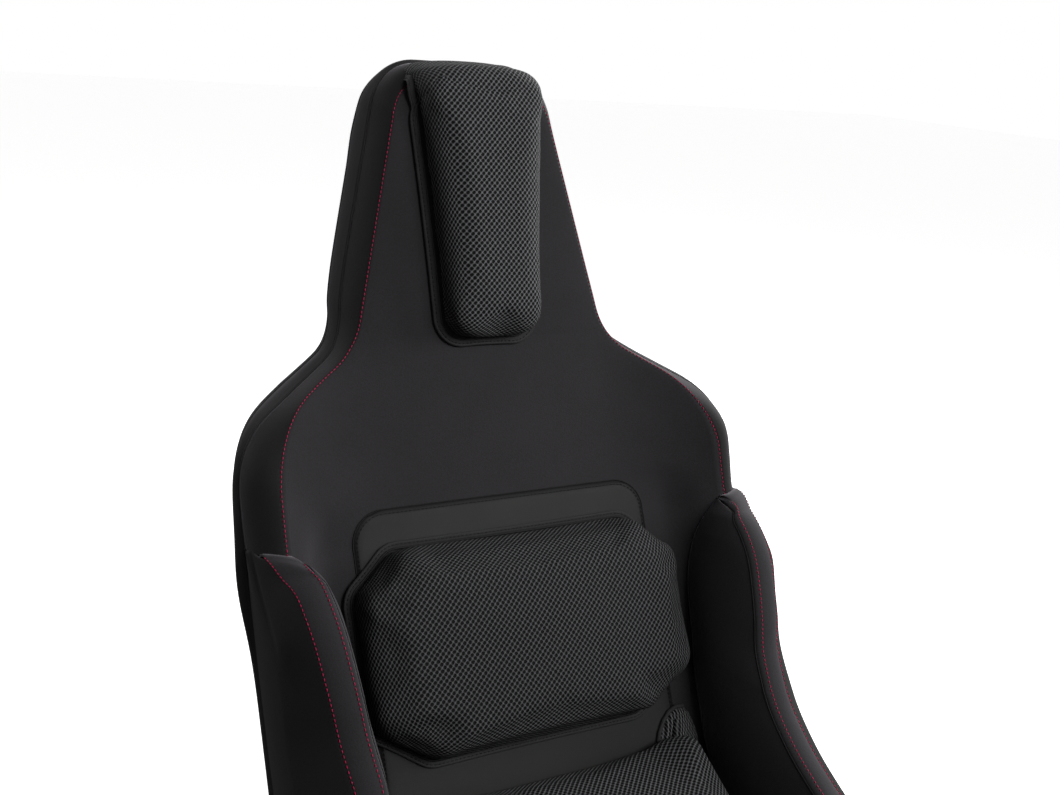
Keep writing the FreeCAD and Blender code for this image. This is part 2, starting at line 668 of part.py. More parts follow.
def bolster_rod_path():
    across = size.bolster_rod_half_width
    depth = size.bolster_rod_depth
    top = waist_height() + size.bolster_rod_rise
    landing = size.rail_height + size.tube_diameter + size.pan_thickness
    points = [
        V(across, hoop_line(across, top), top),
        V(across, size.bolster_waist_setback + depth, top),
        V(across, size.bolster_hip_setback + depth, size.bolster_hip_height - depth),
        V(across, -size.bolster_rod_landing, size.bolster_valley_height - depth),
        V(across, -size.bolster_rod_landing, landing),
    ]
    return arc_path(points, [size.bolster_rod_bend, size.bolster_rod_sweep, size.bolster_rod_bend])


# The steel frame


def base_frame_path():
    """Centre line of the base frame: a U that is open at the rear."""
    across = size.hoop_half_width
    level = size.rail_height + size.tube_diameter / 2
    front = -size.frame_front_reach
    rear = base_frame_end()
    corners = [V(across, rear, level), V(across, front, level),
               V(-across, front, level), V(-across, rear, level)]
    return arc_path(corners, [size.frame_corner_radius] * 2)


def base_frame_end():
    return hoop_line(size.hoop_half_width, size.rail_height) + size.tube_diameter / 2 - size.frame_end_gap


def bracket_bolt_places():
    """The two bolts of a corner bracket: through the base frame and through the hoop."""
    level = size.rail_height + size.tube_diameter / 2
    high = size.rail_height + size.tube_diameter + size.bracket_rise - size.bracket_bolt_inset
    return [(base_frame_end() - size.bracket_reach + size.bracket_bolt_inset, level),
            (hoop_line(size.hoop_half_width, high), high)]


def bracket_plate():
    """Plate in the YZ plane against the inner sides of the hoop and the base frame."""
    level = size.rail_height + size.tube_diameter / 2
    half = size.bracket_half_height
    rear = base_frame_end() - size.bracket_margin
    front = base_frame_end() - size.bracket_reach
    top = size.rail_height + size.tube_diameter + size.bracket_rise
    middle = hoop_line(size.hoop_half_width, top)
    corners = [(rear, level - half), (rear, size.base_top_height), (middle + half, top),
               (middle - half, top), (front, level + half), (front, level - half)]
    plate = prism(polygon_chain(corners), size.bracket_thickness / 2)
    plate.translate(X_AXIS * (size.hoop_half_width - size.tube_diameter / 2 - size.bracket_thickness / 2))
    return plate


def bolt_hole(y, z):
    """Tool for a bolt's hole through a side of the frame."""
    reach = 2 * size.tube_diameter
    start = V(size.hoop_half_width - reach, y, z)
    return Part.makeCylinder(size.frame_bolt_diameter / 2, 2 * reach, start, X_AXIS)


def rivet_places():
    """Rivets of the pan along the side tubes and the front tube."""
    across = size.hoop_half_width
    places = [(side * across, -size.rivet_front_reach + step * size.rivet_spacing_along)
              for side in (-1, 1) for step in range(3)]
    return places + [(step * size.rivet_spacing_across, -size.frame_front_reach) for step in (-1, 0, 1)]


def rivet_domes():
    """Heads of the pan rivets, on top of the pan."""
    level = size.rail_height + size.tube_diameter + size.pan_thickness
    return Part.Compound([Part.makeCone(size.rivet_head_diameter / 2, size.rivet_head_diameter / 4,
                                        size.rivet_head_height, V(x, y, level)) for x, y in rivet_places()])


def rivet_shanks():
    """Shanks of the pan rivets, through the pan and the upper wall of the tubes."""
    grip = size.pan_thickness + size.tube_wall
    level = size.rail_height + size.tube_diameter - size.tube_wall
    return Part.Compound([Part.makeCylinder(size.rivet_diameter / 2, grip, V(x, y, level))
                          for x, y in rivet_places()])


def make_frame():
    places = bracket_bolt_places()
    holes = Part.Compound([bolt_hole(y, z) for y, z in places])
    all_holes = Part.Compound([holes, holes.mirror(ORIGIN, X_AXIS)])
    hoop = tube(hoop_path()).cut(rod(base_frame_path(), size.tube_diameter))
    feature_from("back_hoop", biggest(hoop).cut(all_holes))
    feature_from("base_frame", tube(base_frame_path()).cut(all_holes).cut(rivet_shanks()))
    both_sides("corner_bracket", bracket_plate().cut(holes))

    bolts = []
    nuts = []
    head_height = size.frame_bolt_head_height
    head_face = size.hoop_half_width - size.tube_diameter / 2 - size.bracket_thickness
    far_side = size.hoop_half_width + size.tube_diameter / 2
    for y, z in places:
        shank = Part.makeCylinder(size.frame_bolt_diameter / 2, far_side + head_height - head_face,
                                  V(head_face, y, z), X_AXIS)
        head = hexagon(size.frame_bolt_head, head_height, V(head_face - head_height, y, z), X_AXIS)
        bolts.append(shank.fuse(head))
        blank = hexagon(size.frame_bolt_head, head_height, V(far_side, y, z), X_AXIS)
        nuts.append(blank.cut(bolt_hole(y, z)))
    feature_from("frame_bolts", Part.Compound(bolts + [bolt.mirror(ORIGIN, X_AXIS) for bolt in bolts]))
    feature_from("frame_nuts", Part.Compound(nuts + [nut.mirror(ORIGIN, X_AXIS) for nut in nuts]))
    rivets = [shank.fuse(dome) for shank, dome in zip(rivet_shanks().Solids, rivet_domes().Solids)]
    feature_from("pan_rivets", Part.Compound(rivets))


def hexagon(flats, height, place, axis):
    """A six-sided bar by the distance across its flats."""
    radius = flats / math.sqrt(3)
    corners = [V(radius * math.cos(math.radians(60 * k)), radius * math.sin(math.radians(60 * k)), 0)
               for k in range(7)]
    bar = Part.Face(Part.makePolygon(corners)).extrude(V(0, 0, height))
    bar.Placement = FreeCAD.Placement(place, FreeCAD.Rotation(Z_AXIS, axis))
    return bar


def bound(document_object, **expressions):
    """Ties properties of an object to the sheet."""
    for name, expression in expressions.items():
        document_object.setExpression(name.replace("__", "."), expression)


def make_cross_tube():
    """Rear cross tube between the base frame's side tubes, from two primitives and a cut."""
    length = "2 * (Dimensions.hoop_half_width - Dimensions.tube_diameter / 2)"
    bar = doc.addObject("Part::Cylinder", "cross_bar")
    bore = doc.addObject("Part::Cylinder", "cross_bore")
    for cylinder in (bar, bore):
        cylinder.Placement = FreeCAD.Placement(ORIGIN, FreeCAD.Rotation(Y_AXIS, 90))
        bound(cylinder, Height=length)
        bound(cylinder, Placement__Base__x="-Dimensions.hoop_half_width + Dimensions.tube_diameter / 2",
              Placement__Base__y="Dimensions.rear_tube_setback",
              Placement__Base__z="Dimensions.rail_height + Dimensions.tube_diameter / 2")
    bound(bar, Radius="Dimensions.tube_diameter / 2")
    bound(bore, Radius="Dimensions.tube_diameter / 2 - Dimensions.tube_wall")
    cut = doc.addObject("Part::Cut", "rear_cross_tube")
    cut.Base = bar
    cut.Tool = bore
    keep(cut, "rear_cross_tube")


def plane_of(body, role):
    return next(f for f in body.Origin.OriginFeatures if f.Role == role)


def rectangle(sketch, low_x, low_y, high_x, high_y):
    """A rectangle of four lines, each side held by a named distance that reads the sheet."""
    first = sketch.GeometryCount
    corners = [V(low_x[0], low_y[0], 0), V(high_x[0], low_y[0], 0),
               V(high_x[0], high_y[0], 0), V(low_x[0], high_y[0], 0)]
    for a, b in zip(corners, corners[1:] + corners[:1]):
        sketch.addGeometry(Part.LineSegment(a, b), False)
    for k in range(4):
        sketch.addConstraint(Sketcher.Constraint("Coincident", first + k, 2, first + (k + 1) % 4, 1))
    for k, kind in enumerate(("Horizontal", "Vertical", "Horizontal", "Vertical")):
        sketch.addConstraint(Sketcher.Constraint(kind, first + k))
    rows = [("DistanceX", first, 1, low_x), ("DistanceY", first, 1, low_y),
            ("DistanceX", first + 2, 1, high_x), ("DistanceY", first + 2, 1, high_y)]
    for kind, line, end, (value, expression) in rows:
        place = sketch.addConstraint(Sketcher.Constraint(kind, line, end, value))
        sketch.setExpression("Constraints[%d]" % place, expression)


def make_rail(label, side):
    """A mount rail: rectangular tube with two clearance holes in its lower wall."""
    body = doc.addObject("PartDesign::Body", label)
    section = flat_sketch(body, label + "_section", "XZ_Plane")
    half = size.rail_width / 2
    wall = size.rail_wall
    rectangle(section, (-half, "-Dimensions.rail_width / 2"), (0, "0"),
              (half, "Dimensions.rail_width / 2"), (size.rail_height, "Dimensions.rail_height"))
    rectangle(section, (-half + wall, "-Dimensions.rail_width / 2 + Dimensions.rail_wall"),
              (wall, "Dimensions.rail_wall"),
              (half - wall, "Dimensions.rail_width / 2 - Dimensions.rail_wall"),
              (size.rail_height - wall, "Dimensions.rail_height - Dimensions.rail_wall"))
    pad = body.newObject("PartDesign::Pad", label + "_pad")
    pad.Profile = section
    pad.Length = size.rail_front_reach
    pad.Type2 = "Length"
    pad.SideType = "Two sides"
    bound(pad, Length="Dimensions.rail_front_reach", Length2="Dimensions.rail_rear_setback")
    holes = flat_sketch(body, label + "_holes", "XY_Plane")
    for sign in (-1, 1):
        circle(holes, (0, "0"), (sign * size.mount_spacing_along / 2,
                                 "%d * Dimensions.mount_spacing_along / 2" % sign),
               (size.mount_hole_diameter, "Dimensions.mount_hole_diameter"))
    pocket = body.newObject("PartDesign::Pocket", label + "_pocket")
    pocket.Profile = holes
    pocket.Reversed = True
    bound(pocket, Length="Dimensions.rail_wall")
    body.Tip = pocket
    bound(body, Placement__Base__x="%d * Dimensions.mount_spacing_across / 2" % side)
    return keep(body, label)


def make_mount_nuts():
    """Four weld nuts inside the rails, each with a collar that fills the hole below it."""
    nuts = []
    for side in (-1, 1):
        for end in (-1, 1):
            place = V(side * size.mount_spacing_across / 2, end * size.mount_spacing_along / 2,
                      size.rail_wall)
            blank = hexagon(size.mount_nut_flats, size.mount_nut_height, place, Z_AXIS)
            foot = place - V(0, 0, size.rail_wall)
            length = size.rail_wall + size.mount_nut_height
            collar = Part.makeCylinder(size.mount_hole_diameter / 2, size.rail_wall, foot)
            thread = Part.makeCylinder(size.mount_thread_diameter / 2, length, foot)
            nuts.append(blank.fuse(collar).cut(thread))
    feature_from("mount_nuts", Part.Compound(nuts))


def flat_sketch(body, name, role):
    """A sketch on one of the body's own origin planes."""
    sketch = body.newObject("Sketcher::SketchObject", name)
    sketch.AttachmentSupport = [(plane_of(body, role), "")]
    sketch.MapMode = "FlatFace"
    return sketch


def circle(sketch, across, along, diameter):
    """A circle whose centre and size read the sheet; each argument is a value and its expression."""
    number = sketch.addGeometry(Part.Circle(V(across[0], along[0], 0), Z_AXIS, diameter[0] / 2), False)
    place = sketch.addConstraint(Sketcher.Constraint("Diameter", number, diameter[0]))
    sketch.setExpression("Constraints[%d]" % place, diameter[1])
    for kind, (value, expression) in (("DistanceX", across), ("DistanceY", along)):
        if value == 0:
            sketch.addConstraint(Sketcher.Constraint("PointOnObject", number, 3, -2))
            continue
        place = sketch.addConstraint(Sketcher.Constraint(kind, number, 3, value))
        sketch.setExpression("Constraints[%d]" % place, expression)


def make_pan():
    """Pressed pan: a sheet with a grid of lightening holes and a hole for each rivet."""
    body = doc.addObject("PartDesign::Body", "pan_body")
    outline = flat_sketch(body, "pan_outline", "XY_Plane")
    half = size.pan_half_width
    rectangle(outline, (-half, "-Dimensions.pan_half_width"),
              (-size.pan_front_reach, "-Dimensions.pan_front_reach"),
              (half, "Dimensions.pan_half_width"), (size.pan_rear_setback, "Dimensions.pan_rear_setback"))
    pad = body.newObject("PartDesign::Pad", "pan_sheet")
    pad.Profile = outline
    bound(pad, Length="Dimensions.pan_thickness")
    hole = flat_sketch(body, "pan_hole", "XY_Plane")
    corner = "-1.5 * Dimensions.pan_hole_pitch"
    circle(hole, (-1.5 * size.pan_hole_pitch, corner),
           (-1.5 * size.pan_hole_pitch - size.pan_hole_shift, corner + " - Dimensions.pan_hole_shift"),
           (size.pan_hole_diameter, "Dimensions.pan_hole_diameter"))
    pocket = body.newObject("PartDesign::Pocket", "pan_pocket")
    pocket.Profile = hole
    pocket.Reversed = True
    bound(pocket, Length="2 * Dimensions.pan_thickness")
    doc.recompute()
    grid = body.newObject("PartDesign::MultiTransform", "pan_grid")
    grid.Originals = [pocket]
    steps = []
    for name, axis in (("pan_row", "H_Axis"), ("pan_column", "V_Axis")):
        pattern = body.newObject("PartDesign::LinearPattern", name)
        pattern.Direction = (hole, [axis])
        pattern.Occurrences = 4
        bound(pattern, Length="3 * Dimensions.pan_hole_pitch")
        steps.append(pattern)
    grid.Transformations = steps
    body.Tip = grid
    bound(body, Placement__Base__z="Dimensions.rail_height + Dimensions.tube_diameter")
    holes = doc.addObject("Part::Feature", "pan_rivet_holes")
    holes.Shape = rivet_shanks()
    cut = doc.addObject("Part::Cut", "seat_pan")
    cut.Base = body
    cut.Tool = holes
    keep(cut, "seat_pan")


# Webbing behind the foam


def make_webbing():
    wire = size.hook_wire_diameter
    inner = size.hoop_half_width - size.tube_diameter / 2 - 3 * wire
    turn = FreeCAD.Rotation(X_AXIS, -size.lumbar_recline)
    half = size.strap_width / 2
    clear = size.hook_clearance
    hook_depth = size.strap_thickness + 2 * clear
    straps = []
    hooks = []
    for number in range(int(size.strap_count)):
        height = size.strap_first_height + number * size.strap_pitch
        place = FreeCAD.Placement(V(0, back_line(height) + foam_rear_depth() + size.seat_gap, height), turn)
        strap = Part.makeBox(2 * inner, size.strap_thickness, size.strap_width, V(-inner, 0, -half))
        strap.Placement = place
        straps.append(strap)
        bar = Part.makeBox(wire, hook_depth, size.strap_width, V(inner, -clear, -half))
        arm = Part.makeBox(2 * wire, hook_depth, size.hook_arm_width,
                           V(inner + wire, -clear, -size.hook_arm_width / 2))
        hook = bar.fuse(arm).removeSplitter()
        hook.Placement = place
        hooks += [hook, hook.mirror(ORIGIN, X_AXIS)]
    feature_from("back_webbing", Part.Compound(straps))
    feature_from("webbing_hooks", Part.Compound(hooks))


# The base and the loop panel


def make_base():
    cover = size.cover_thickness
    half = size.bolster_root_half_width
    top = size.base_top_height
    pan_top = size.rail_height + size.tube_diameter + size.pan_thickness
    nose = -size.nose_reach + size.base_nose_step
    bend = size.base_nose_radius

    def shell(depth):
        front = nose + depth
        level = top - depth
        corner = bend - depth
        bulge = corner * (1 - math.sqrt(0.5))
        return [((back_line(level), level), (front + corner, level)),
                ((front + corner, level), (front + bulge, level - bulge), (front, level - corner))]

    low = size.skirt_height
    outer = shell(0)
    inner = shell(cover)
    outer = outer + [(outer[-1][-1], (nose, low))]
    inner = inner + [(inner[-1][-1], (nose + cover, low))]
    profile = outer + [(outer[-1][-1], inner[-1][-1])] + backwards(inner) + [(inner[0][0], outer[0][0])]
    feature_from("base_cover", prism(profile, half))
    body = shell(cover)
    body = body + [(body[-1][-1], (nose + cover, pan_top)), ((nose + cover, pan_top),
                   (back_line(pan_top), pan_top)), ((back_line(pan_top), pan_top), body[0][0])]
    feature_from("base_foam", prism(body, half).cut(rivet_domes()))


def make_bottom_cloth():
    """Dust cloth that closes the underside between the rails."""
    cloth = doc.addObject("Part::Box", "cloth_sheet")
    bound(cloth, Length="Dimensions.mount_spacing_across - Dimensions.rail_width - 2 * Dimensions.seat_gap",
          Width="Dimensions.rail_front_reach + Dimensions.rear_tube_setback",
          Height="Dimensions.cloth_thickness",
          Placement__Base__x="-Dimensions.mount_spacing_across / 2 + Dimensions.rail_width / 2"
                             " + Dimensions.seat_gap",
          Placement__Base__y="-Dimensions.rail_front_reach + Dimensions.cloth_hem",
          Placement__Base__z="Dimensions.rail_height - Dimensions.cloth_thickness")
    keep(cloth, "bottom_cloth")


def make_loop_panel():
    thick = size.loop_panel_thickness
    level = size.base_top_height
    top = size.loop_panel_top_height
    slope = tangent(size.lumbar_recline)

    def path(depth):
        height = level + depth
        crease = back_line(height) - depth / math.cos(math.radians(size.lumbar_recline))
        return [V(0, -size.loop_panel_front_reach, height), V(0, crease, height),
                V(0, crease + (top - height) * slope, top)]

    outer = arc_path(path(0), [size.crease_radius])
    inner = arc_path(path(thick), [size.crease_radius - thick])
    ends = [Part.makeLine(outer.Edges[0].Vertexes[0].Point, inner.Edges[0].Vertexes[0].Point),
            Part.makeLine(outer.Edges[-1].Vertexes[-1].Point, inner.Edges[-1].Vertexes[-1].Point)]
    face = Part.Face(Part.Wire(Part.__sortEdges__(outer.Edges + inner.Edges + ends)))
    half = size.loop_panel_half_width
    panel = face.extrude(X_AXIS * half * 2)
    panel.translate(X_AXIS * -half)
    corner = size.loop_panel_corner_radius
    reach = size.nose_reach + size.head_top_height
    outline = [V(-half, -reach, 0), V(-half, -reach, top), V(half, -reach, top), V(half, -reach, 0)]
    rounded = arc_path(outline, [corner, corner])
    closing = Part.makeLine(outline[-1], outline[0])
    window = Part.Face(Part.Wire(rounded.Edges + [closing])).extrude(Y_AXIS * 2 * reach)
    feature_from("loop_panel", panel.common(window))


# The loose pads, each in a frame of its own: X across, Z along the surface, -Y out of it

# Share of a side that a rounded corner may take
CORNER_ROOM = 0.42
# Share of a quarter turn that makes a pad's edge full rather than round
PAD_FULLNESS = 0.75
# How far the ends of a cut corner move in for each unit that the face draws in
CHAMFER_EASE = 0.35


def pad_wire(corners, radius, depth, draw):
    """Closed outline with rounded corners whose sides pull in between them."""
    count = len(corners)
    points = [V(x, -depth, z) for x, z in corners]
    centre = V(0, -depth, sum(p.z for p in points) / count)
    ends = []
    for k in range(count):
        corner = points[k]
        back = (points[k - 1] - corner).normalize()
        onward = (points[(k + 1) % count] - corner).normalize()
        half = back.getAngle(onward) / 2
        room = CORNER_ROOM * min((points[k - 1] - corner).Length, (points[(k + 1) % count] - corner).Length)
        reach = min(radius / math.tan(half), room)
        round_here = reach * math.tan(half)
        middle = corner + (back + onward).normalize() * (round_here / math.sin(half) - round_here)
        ends.append((corner + back * reach, middle, corner + onward * reach))
    edges = []
    for k in range(count):
        edges.append(edge(ends[k]))
        start = ends[k][2]
        finish = ends[(k + 1) % count][0]
        middle = (start + finish) / 2
        inward = (centre - middle).normalize()
        pull = draw * min(1, (finish - start).Length / size.draw_span)
        edges.append(edge((start, middle + inward * pull, finish)))
    return Part.Wire(edges)


def pillow(corners_at, thickness, radius, crown, inset):
    """A crowned pad: outlines that swell a little, then draw in as the sides turn into the face."""
    wires = []
    for turn in (0, 12, 30, 48, 63, 77, 90):
        rise = math.sin(math.radians(turn)) ** PAD_FULLNESS
        shrink = crown * (1 - math.cos(math.radians(turn)) ** PAD_FULLNESS)
        swell = size.side_swell * math.sin(math.radians(2 * turn))
        depth = rise * (thickness - inset)
        wires.append(pad_wire(corners_at(inset - swell, shrink, depth), radius, depth, size.side_draw))
    return Part.makeLoft(wires, True, True)


def pad_parts(name, corners_at, thickness, radius, crown, placement, patch, seam):
    """Foam, mesh cover, backing with its flange, and hook patch of one pad; gives the pad's shape."""
    below = size.hook_patch_thickness + size.pad_backing_thickness
    cover = size.pad_cover_thickness
    outer = pillow(corners_at, thickness - below, radius, crown, 0)
    core = pillow(corners_at, thickness - below, radius, crown, cover)
    lift = FreeCAD.Placement(V(0, -below - size.seat_gap, 0), FreeCAD.Rotation())
    lifted = placement.multiply(lift)
    feature_from(name + "_foam", core, lifted)
    feature_from(name + "_cover", outer.cut(core), lifted)
    flange = Part.Face(pad_wire(corners_at(-seam, 0, 0), radius + seam, 0, size.flange_draw))
    backing = flange.extrude(Y_AXIS * size.pad_backing_thickness)
    feature_from(name + "_backing", backing, lifted)
    low, high, half = patch
    hooks = Part.makeBox(2 * half, size.hook_patch_thickness, high - low, V(-half, 0, low))
    seat = FreeCAD.Placement(V(0, -size.hook_patch_thickness - size.seat_gap, 0), FreeCAD.Rotation())
    feature_from(name + "_hook_patch", hooks, placement.multiply(seat))
    whole = outer.fuse(backing)
    whole.Placement = lifted
    return whole


def on_back(height, recline, stand_off):
    """Frame of a pad on the back's front surface, its origin on the centre plane at a height."""
    turn = FreeCAD.Rotation(X_AXIS, -recline)
    place = V(0, back_line(height), height) + turn.multVec(Y_AXIS) * -stand_off
    return FreeCAD.Placement(place, turn)


def make_head_pad():
    low = size.neck_height - size.head_pad_bottom_drop
    high = size.head_top_height - size.head_pad_top_drop
    length = (high - low) / math.cos(math.radians(size.head_recline))
    bottom = size.head_pad_bottom_half_width
    top = size.head_pad_top_half_width
    foot = size.pad_flange_width

    def corners(inset, turn, depth):
        side = inset + turn
        low = foot + inset + size.head_pad_foot_share * turn
        return [(-bottom + side, low), (bottom - side, low),
                (top - side, length - side), (-top + side, length - side)]

    placement = on_back(low, size.head_recline, 0)
    margin = size.head_patch_margin
    patch = (margin, length - margin, bottom - size.head_patch_inset)
    pad = pad_parts("head_pad", corners, size.head_pad_thickness, size.head_pad_corner_radius,
                    size.head_pad_crown, placement, patch, size.pad_flange_width)
    make_hood(pad)


def make_hood(pad):
    """Fabric tongue from the pad's top over the head and down its rear."""
    gap = size.seat_gap
    thick = size.hood_thickness
    top = size.head_top_height + gap
    lean = tangent(size.head_recline)
    front = back_line(size.head_top_height) + size.head_top_round - size.hood_front_reach
    rear = back_line(size.head_top_height) + size.back_thickness + gap
    turn = size.head_rear_round
    low = size.head_top_height - size.hood_drop
    bulge = turn * (1 - math.sqrt(0.5))

    def line(out):
        shoulder = top - turn
        slant = out * math.sqrt(0.5) - bulge
        return [((front, top + out), (rear - turn, top + out)),
                ((rear - turn, top + out), (rear + slant, top + slant),
                 (rear - turn * lean + out, shoulder)),
                ((rear - turn * lean + out, shoulder), (rear - (top - low) * lean + out, low))]

    inner = line(0)
    outer = line(thick)
    profile = outer + [(outer[-1][-1], inner[-1][-1])] + backwards(inner) + [(inner[0][0], outer[0][0])]
    tongue = prism(profile, size.head_pad_top_half_width - size.pad_cover_thickness)
    feature_from("head_pad_hood", biggest(tongue.cut(pad)))


def make_lumbar_pad():
    low = size.lumbar_pad_bottom_height
    slant = math.cos(math.radians(size.lumbar_recline))
    length = (size.lumbar_pad_top_height - low) / slant
    half = size.lumbar_pad_half_width
    cut_x = size.lumbar_chamfer_across
    foot_cut = size.lumbar_foot_chamfer_across
    cut_z = size.lumbar_chamfer_up

    def corners(inset, turn, depth):
        ease = CHAMFER_EASE * (inset + turn)
        side = half - inset - size.lumbar_side_share * turn
        low = inset + size.lumbar_foot_share * turn
        high = length - inset - turn
        foot_x = half - foot_cut - ease
        top_x = half - cut_x - ease
        rise = cut_z + ease
        return [(-foot_x, low), (foot_x, low), (side, rise), (side, length - rise),
                (top_x, high), (-top_x, high), (-side, length - rise), (-side, rise)]

    placement = on_back(low, size.lumbar_recline, size.loop_panel_thickness)
    margin = size.lumbar_patch_margin
    patch = (margin, length - margin, half - size.lumbar_patch_inset)
    pad_parts("lumbar_pad", corners, size.lumbar_pad_thickness, size.lumbar_pad_corner_radius,
              size.lumbar_pad_crown, placement, patch, size.pad_flange_width)


def make_cushion():
    level = size.base_top_height + size.loop_panel_thickness
    rear = back_line(level) - size.cushion_crease_gap
    length = rear + size.cushion_front_reach
    back_half = size.cushion_half_width
    front_half = size.cushion_front_half_width

    def corners(inset, turn, depth):
        draw = inset + turn
        rear_edge = length - inset - size.cushion_rear_share * turn + depth * tangent(size.cushion_rear_lean)
        return [(-front_half + draw, draw), (front_half - draw, draw),
                (back_half - draw, rear_edge), (-back_half + draw, rear_edge)]

    turn = FreeCAD.Rotation(X_AXIS, -90)
    placement = FreeCAD.Placement(V(0, -size.cushion_front_reach, level), turn)
    margin = size.cushion_patch_margin
    patch = (margin, length - margin, front_half - size.cushion_patch_inset)
    pad_parts("base_cushion", corners, size.cushion_thickness, size.cushion_corner_radius,
              size.cushion_crown, placement, patch, size.cushion_seam_width)


def check_and_write():
    doc.recompute()
    for thing in doc.Objects:
        faults = [state for state in thing.State if state in ("Invalid", "Error")]
        if faults:
            raise RuntimeError("%s is %s" % (thing.Label, ", ".join(faults)))
    for piece in pieces:
        if piece.Shape.isNull() or not piece.Shape.isValid():
            raise RuntimeError("%s has no valid shape" % piece.Label)
    os.makedirs("parts", exist_ok=True)
    for piece in pieces:
        piece.Shape.exportStep("parts/%s.step" % piece.Label)
        box = piece.Shape.BoundBox
        print("%-26s %2d solid(s) %9.1f cm3  x %6.0f %6.0f  y %6.0f %6.0f  z %6.0f %6.0f"
              % (piece.Label, len(piece.Shape.Solids), piece.Shape.Volume / 1000, box.XMin, box.XMax,
                 box.YMin, box.YMax, box.ZMin, box.ZMax))


make_back_covers()
make_back_foam()
make_bolsters()
make_frame()
make_cross_tube()
make_rail("mount_rail_left", 1)
make_rail("mount_rail_right", -1)
make_mount_nuts()
make_pan()
make_webbing()
make_base()
make_bottom_cloth()
make_loop_panel()
make_head_pad()
make_lumbar_pad()
make_cushion()
check_and_write()
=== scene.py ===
"""Racing seat: covers, stitched seams, mesh pads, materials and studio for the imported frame."""
import json
import math

import bmesh
import bpy
import numpy as np
from mathutils import Matrix, Vector


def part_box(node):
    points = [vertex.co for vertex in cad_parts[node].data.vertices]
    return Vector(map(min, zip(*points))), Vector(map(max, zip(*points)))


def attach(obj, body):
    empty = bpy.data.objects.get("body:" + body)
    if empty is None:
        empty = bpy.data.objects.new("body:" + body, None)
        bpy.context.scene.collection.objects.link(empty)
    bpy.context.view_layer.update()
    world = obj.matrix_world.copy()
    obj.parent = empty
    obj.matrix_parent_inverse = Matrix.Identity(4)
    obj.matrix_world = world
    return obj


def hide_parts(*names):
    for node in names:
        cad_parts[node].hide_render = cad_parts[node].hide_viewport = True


bl_info = {
    "name": "Racing Seat",
    "version": (1, 0, 0),
    "blender": (4, 5, 0),
    "location": "3D View > Sidebar > Racing Seat",
    "description": "Builds the upholstery and the studio of a fixed bucket seat",
    "category": "Object",
}

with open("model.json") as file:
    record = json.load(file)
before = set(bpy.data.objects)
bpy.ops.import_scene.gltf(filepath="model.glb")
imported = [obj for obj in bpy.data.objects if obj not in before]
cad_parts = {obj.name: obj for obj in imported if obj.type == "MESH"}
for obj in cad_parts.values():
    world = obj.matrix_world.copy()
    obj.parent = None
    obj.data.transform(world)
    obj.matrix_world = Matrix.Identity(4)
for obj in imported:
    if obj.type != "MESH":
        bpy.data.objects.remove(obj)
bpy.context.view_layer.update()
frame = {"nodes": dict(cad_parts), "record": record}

# Lengths in this file are millimetres until a mesh is made; the meshes are in metres.
MM = 0.001

# The back: heights and lean of its front surface, as the frame has them
CREASE_SETBACK = 155.0
BASE_TOP = 92.0
UPPER_BEND = 411.0
NECK = 566.0
HEAD_TOP = 843.0
OUTLINE_TOP = HEAD_TOP - 17.0
LUMBAR_RECLINE = 25.7
UPPER_RECLINE = 20.7
HEAD_RECLINE = 14.9
BACK_THICKNESS = 73.0
SKIRT = 28.0
WING_START = 130.0
WING_RADIUS = 176.0
SIDE = 283.5
HEAD_PAD_DEPTH = 40.0
# Half of the stitched outline's width at the shoulders and at the neck
SHOULDER_HALF = 256.5
NECK_HALF = 149.0
# How far the outer stitches of a bolster's band lie behind the inner ones
BAND_LEAN = 5.0


class SeatSizes(bpy.types.PropertyGroup):
    """Sizes of the sewn work."""

    stitch_pitch: bpy.props.FloatProperty(
        name="Stitch pitch", description="One stitch to the next", default=0.0046, unit="LENGTH")
    stitch_length: bpy.props.FloatProperty(
        name="Stitch length", description="Visible length of one stitch", default=0.0034, unit="LENGTH")
    thread_radius: bpy.props.FloatProperty(
        name="Thread radius", description="Half of the thread's thickness", default=0.00055, unit="LENGTH")
    mesh_pitch: bpy.props.FloatProperty(
        name="Mesh pitch", description="One hole of the spacer mesh to the next in a row",
        default=0.00595, unit="LENGTH")
    mesh_rows: bpy.props.FloatProperty(
        name="Mesh rows", description="One row of holes to the next, half a pitch beside it",
        default=0.0032, unit="LENGTH")
    seam_radius: bpy.props.FloatProperty(
        name="Seam radius", description="Half of a seam welt's thickness", default=0.0008, unit="LENGTH")
    pad_pressure: bpy.props.FloatProperty(
        name="Pad pressure", description="Pressure that swells a pad's cover", default=4.0)
    pad_swell: bpy.props.FloatProperty(
        name="Pad swell", description="How far a pad's cover may swell", default=0.006, unit="LENGTH")


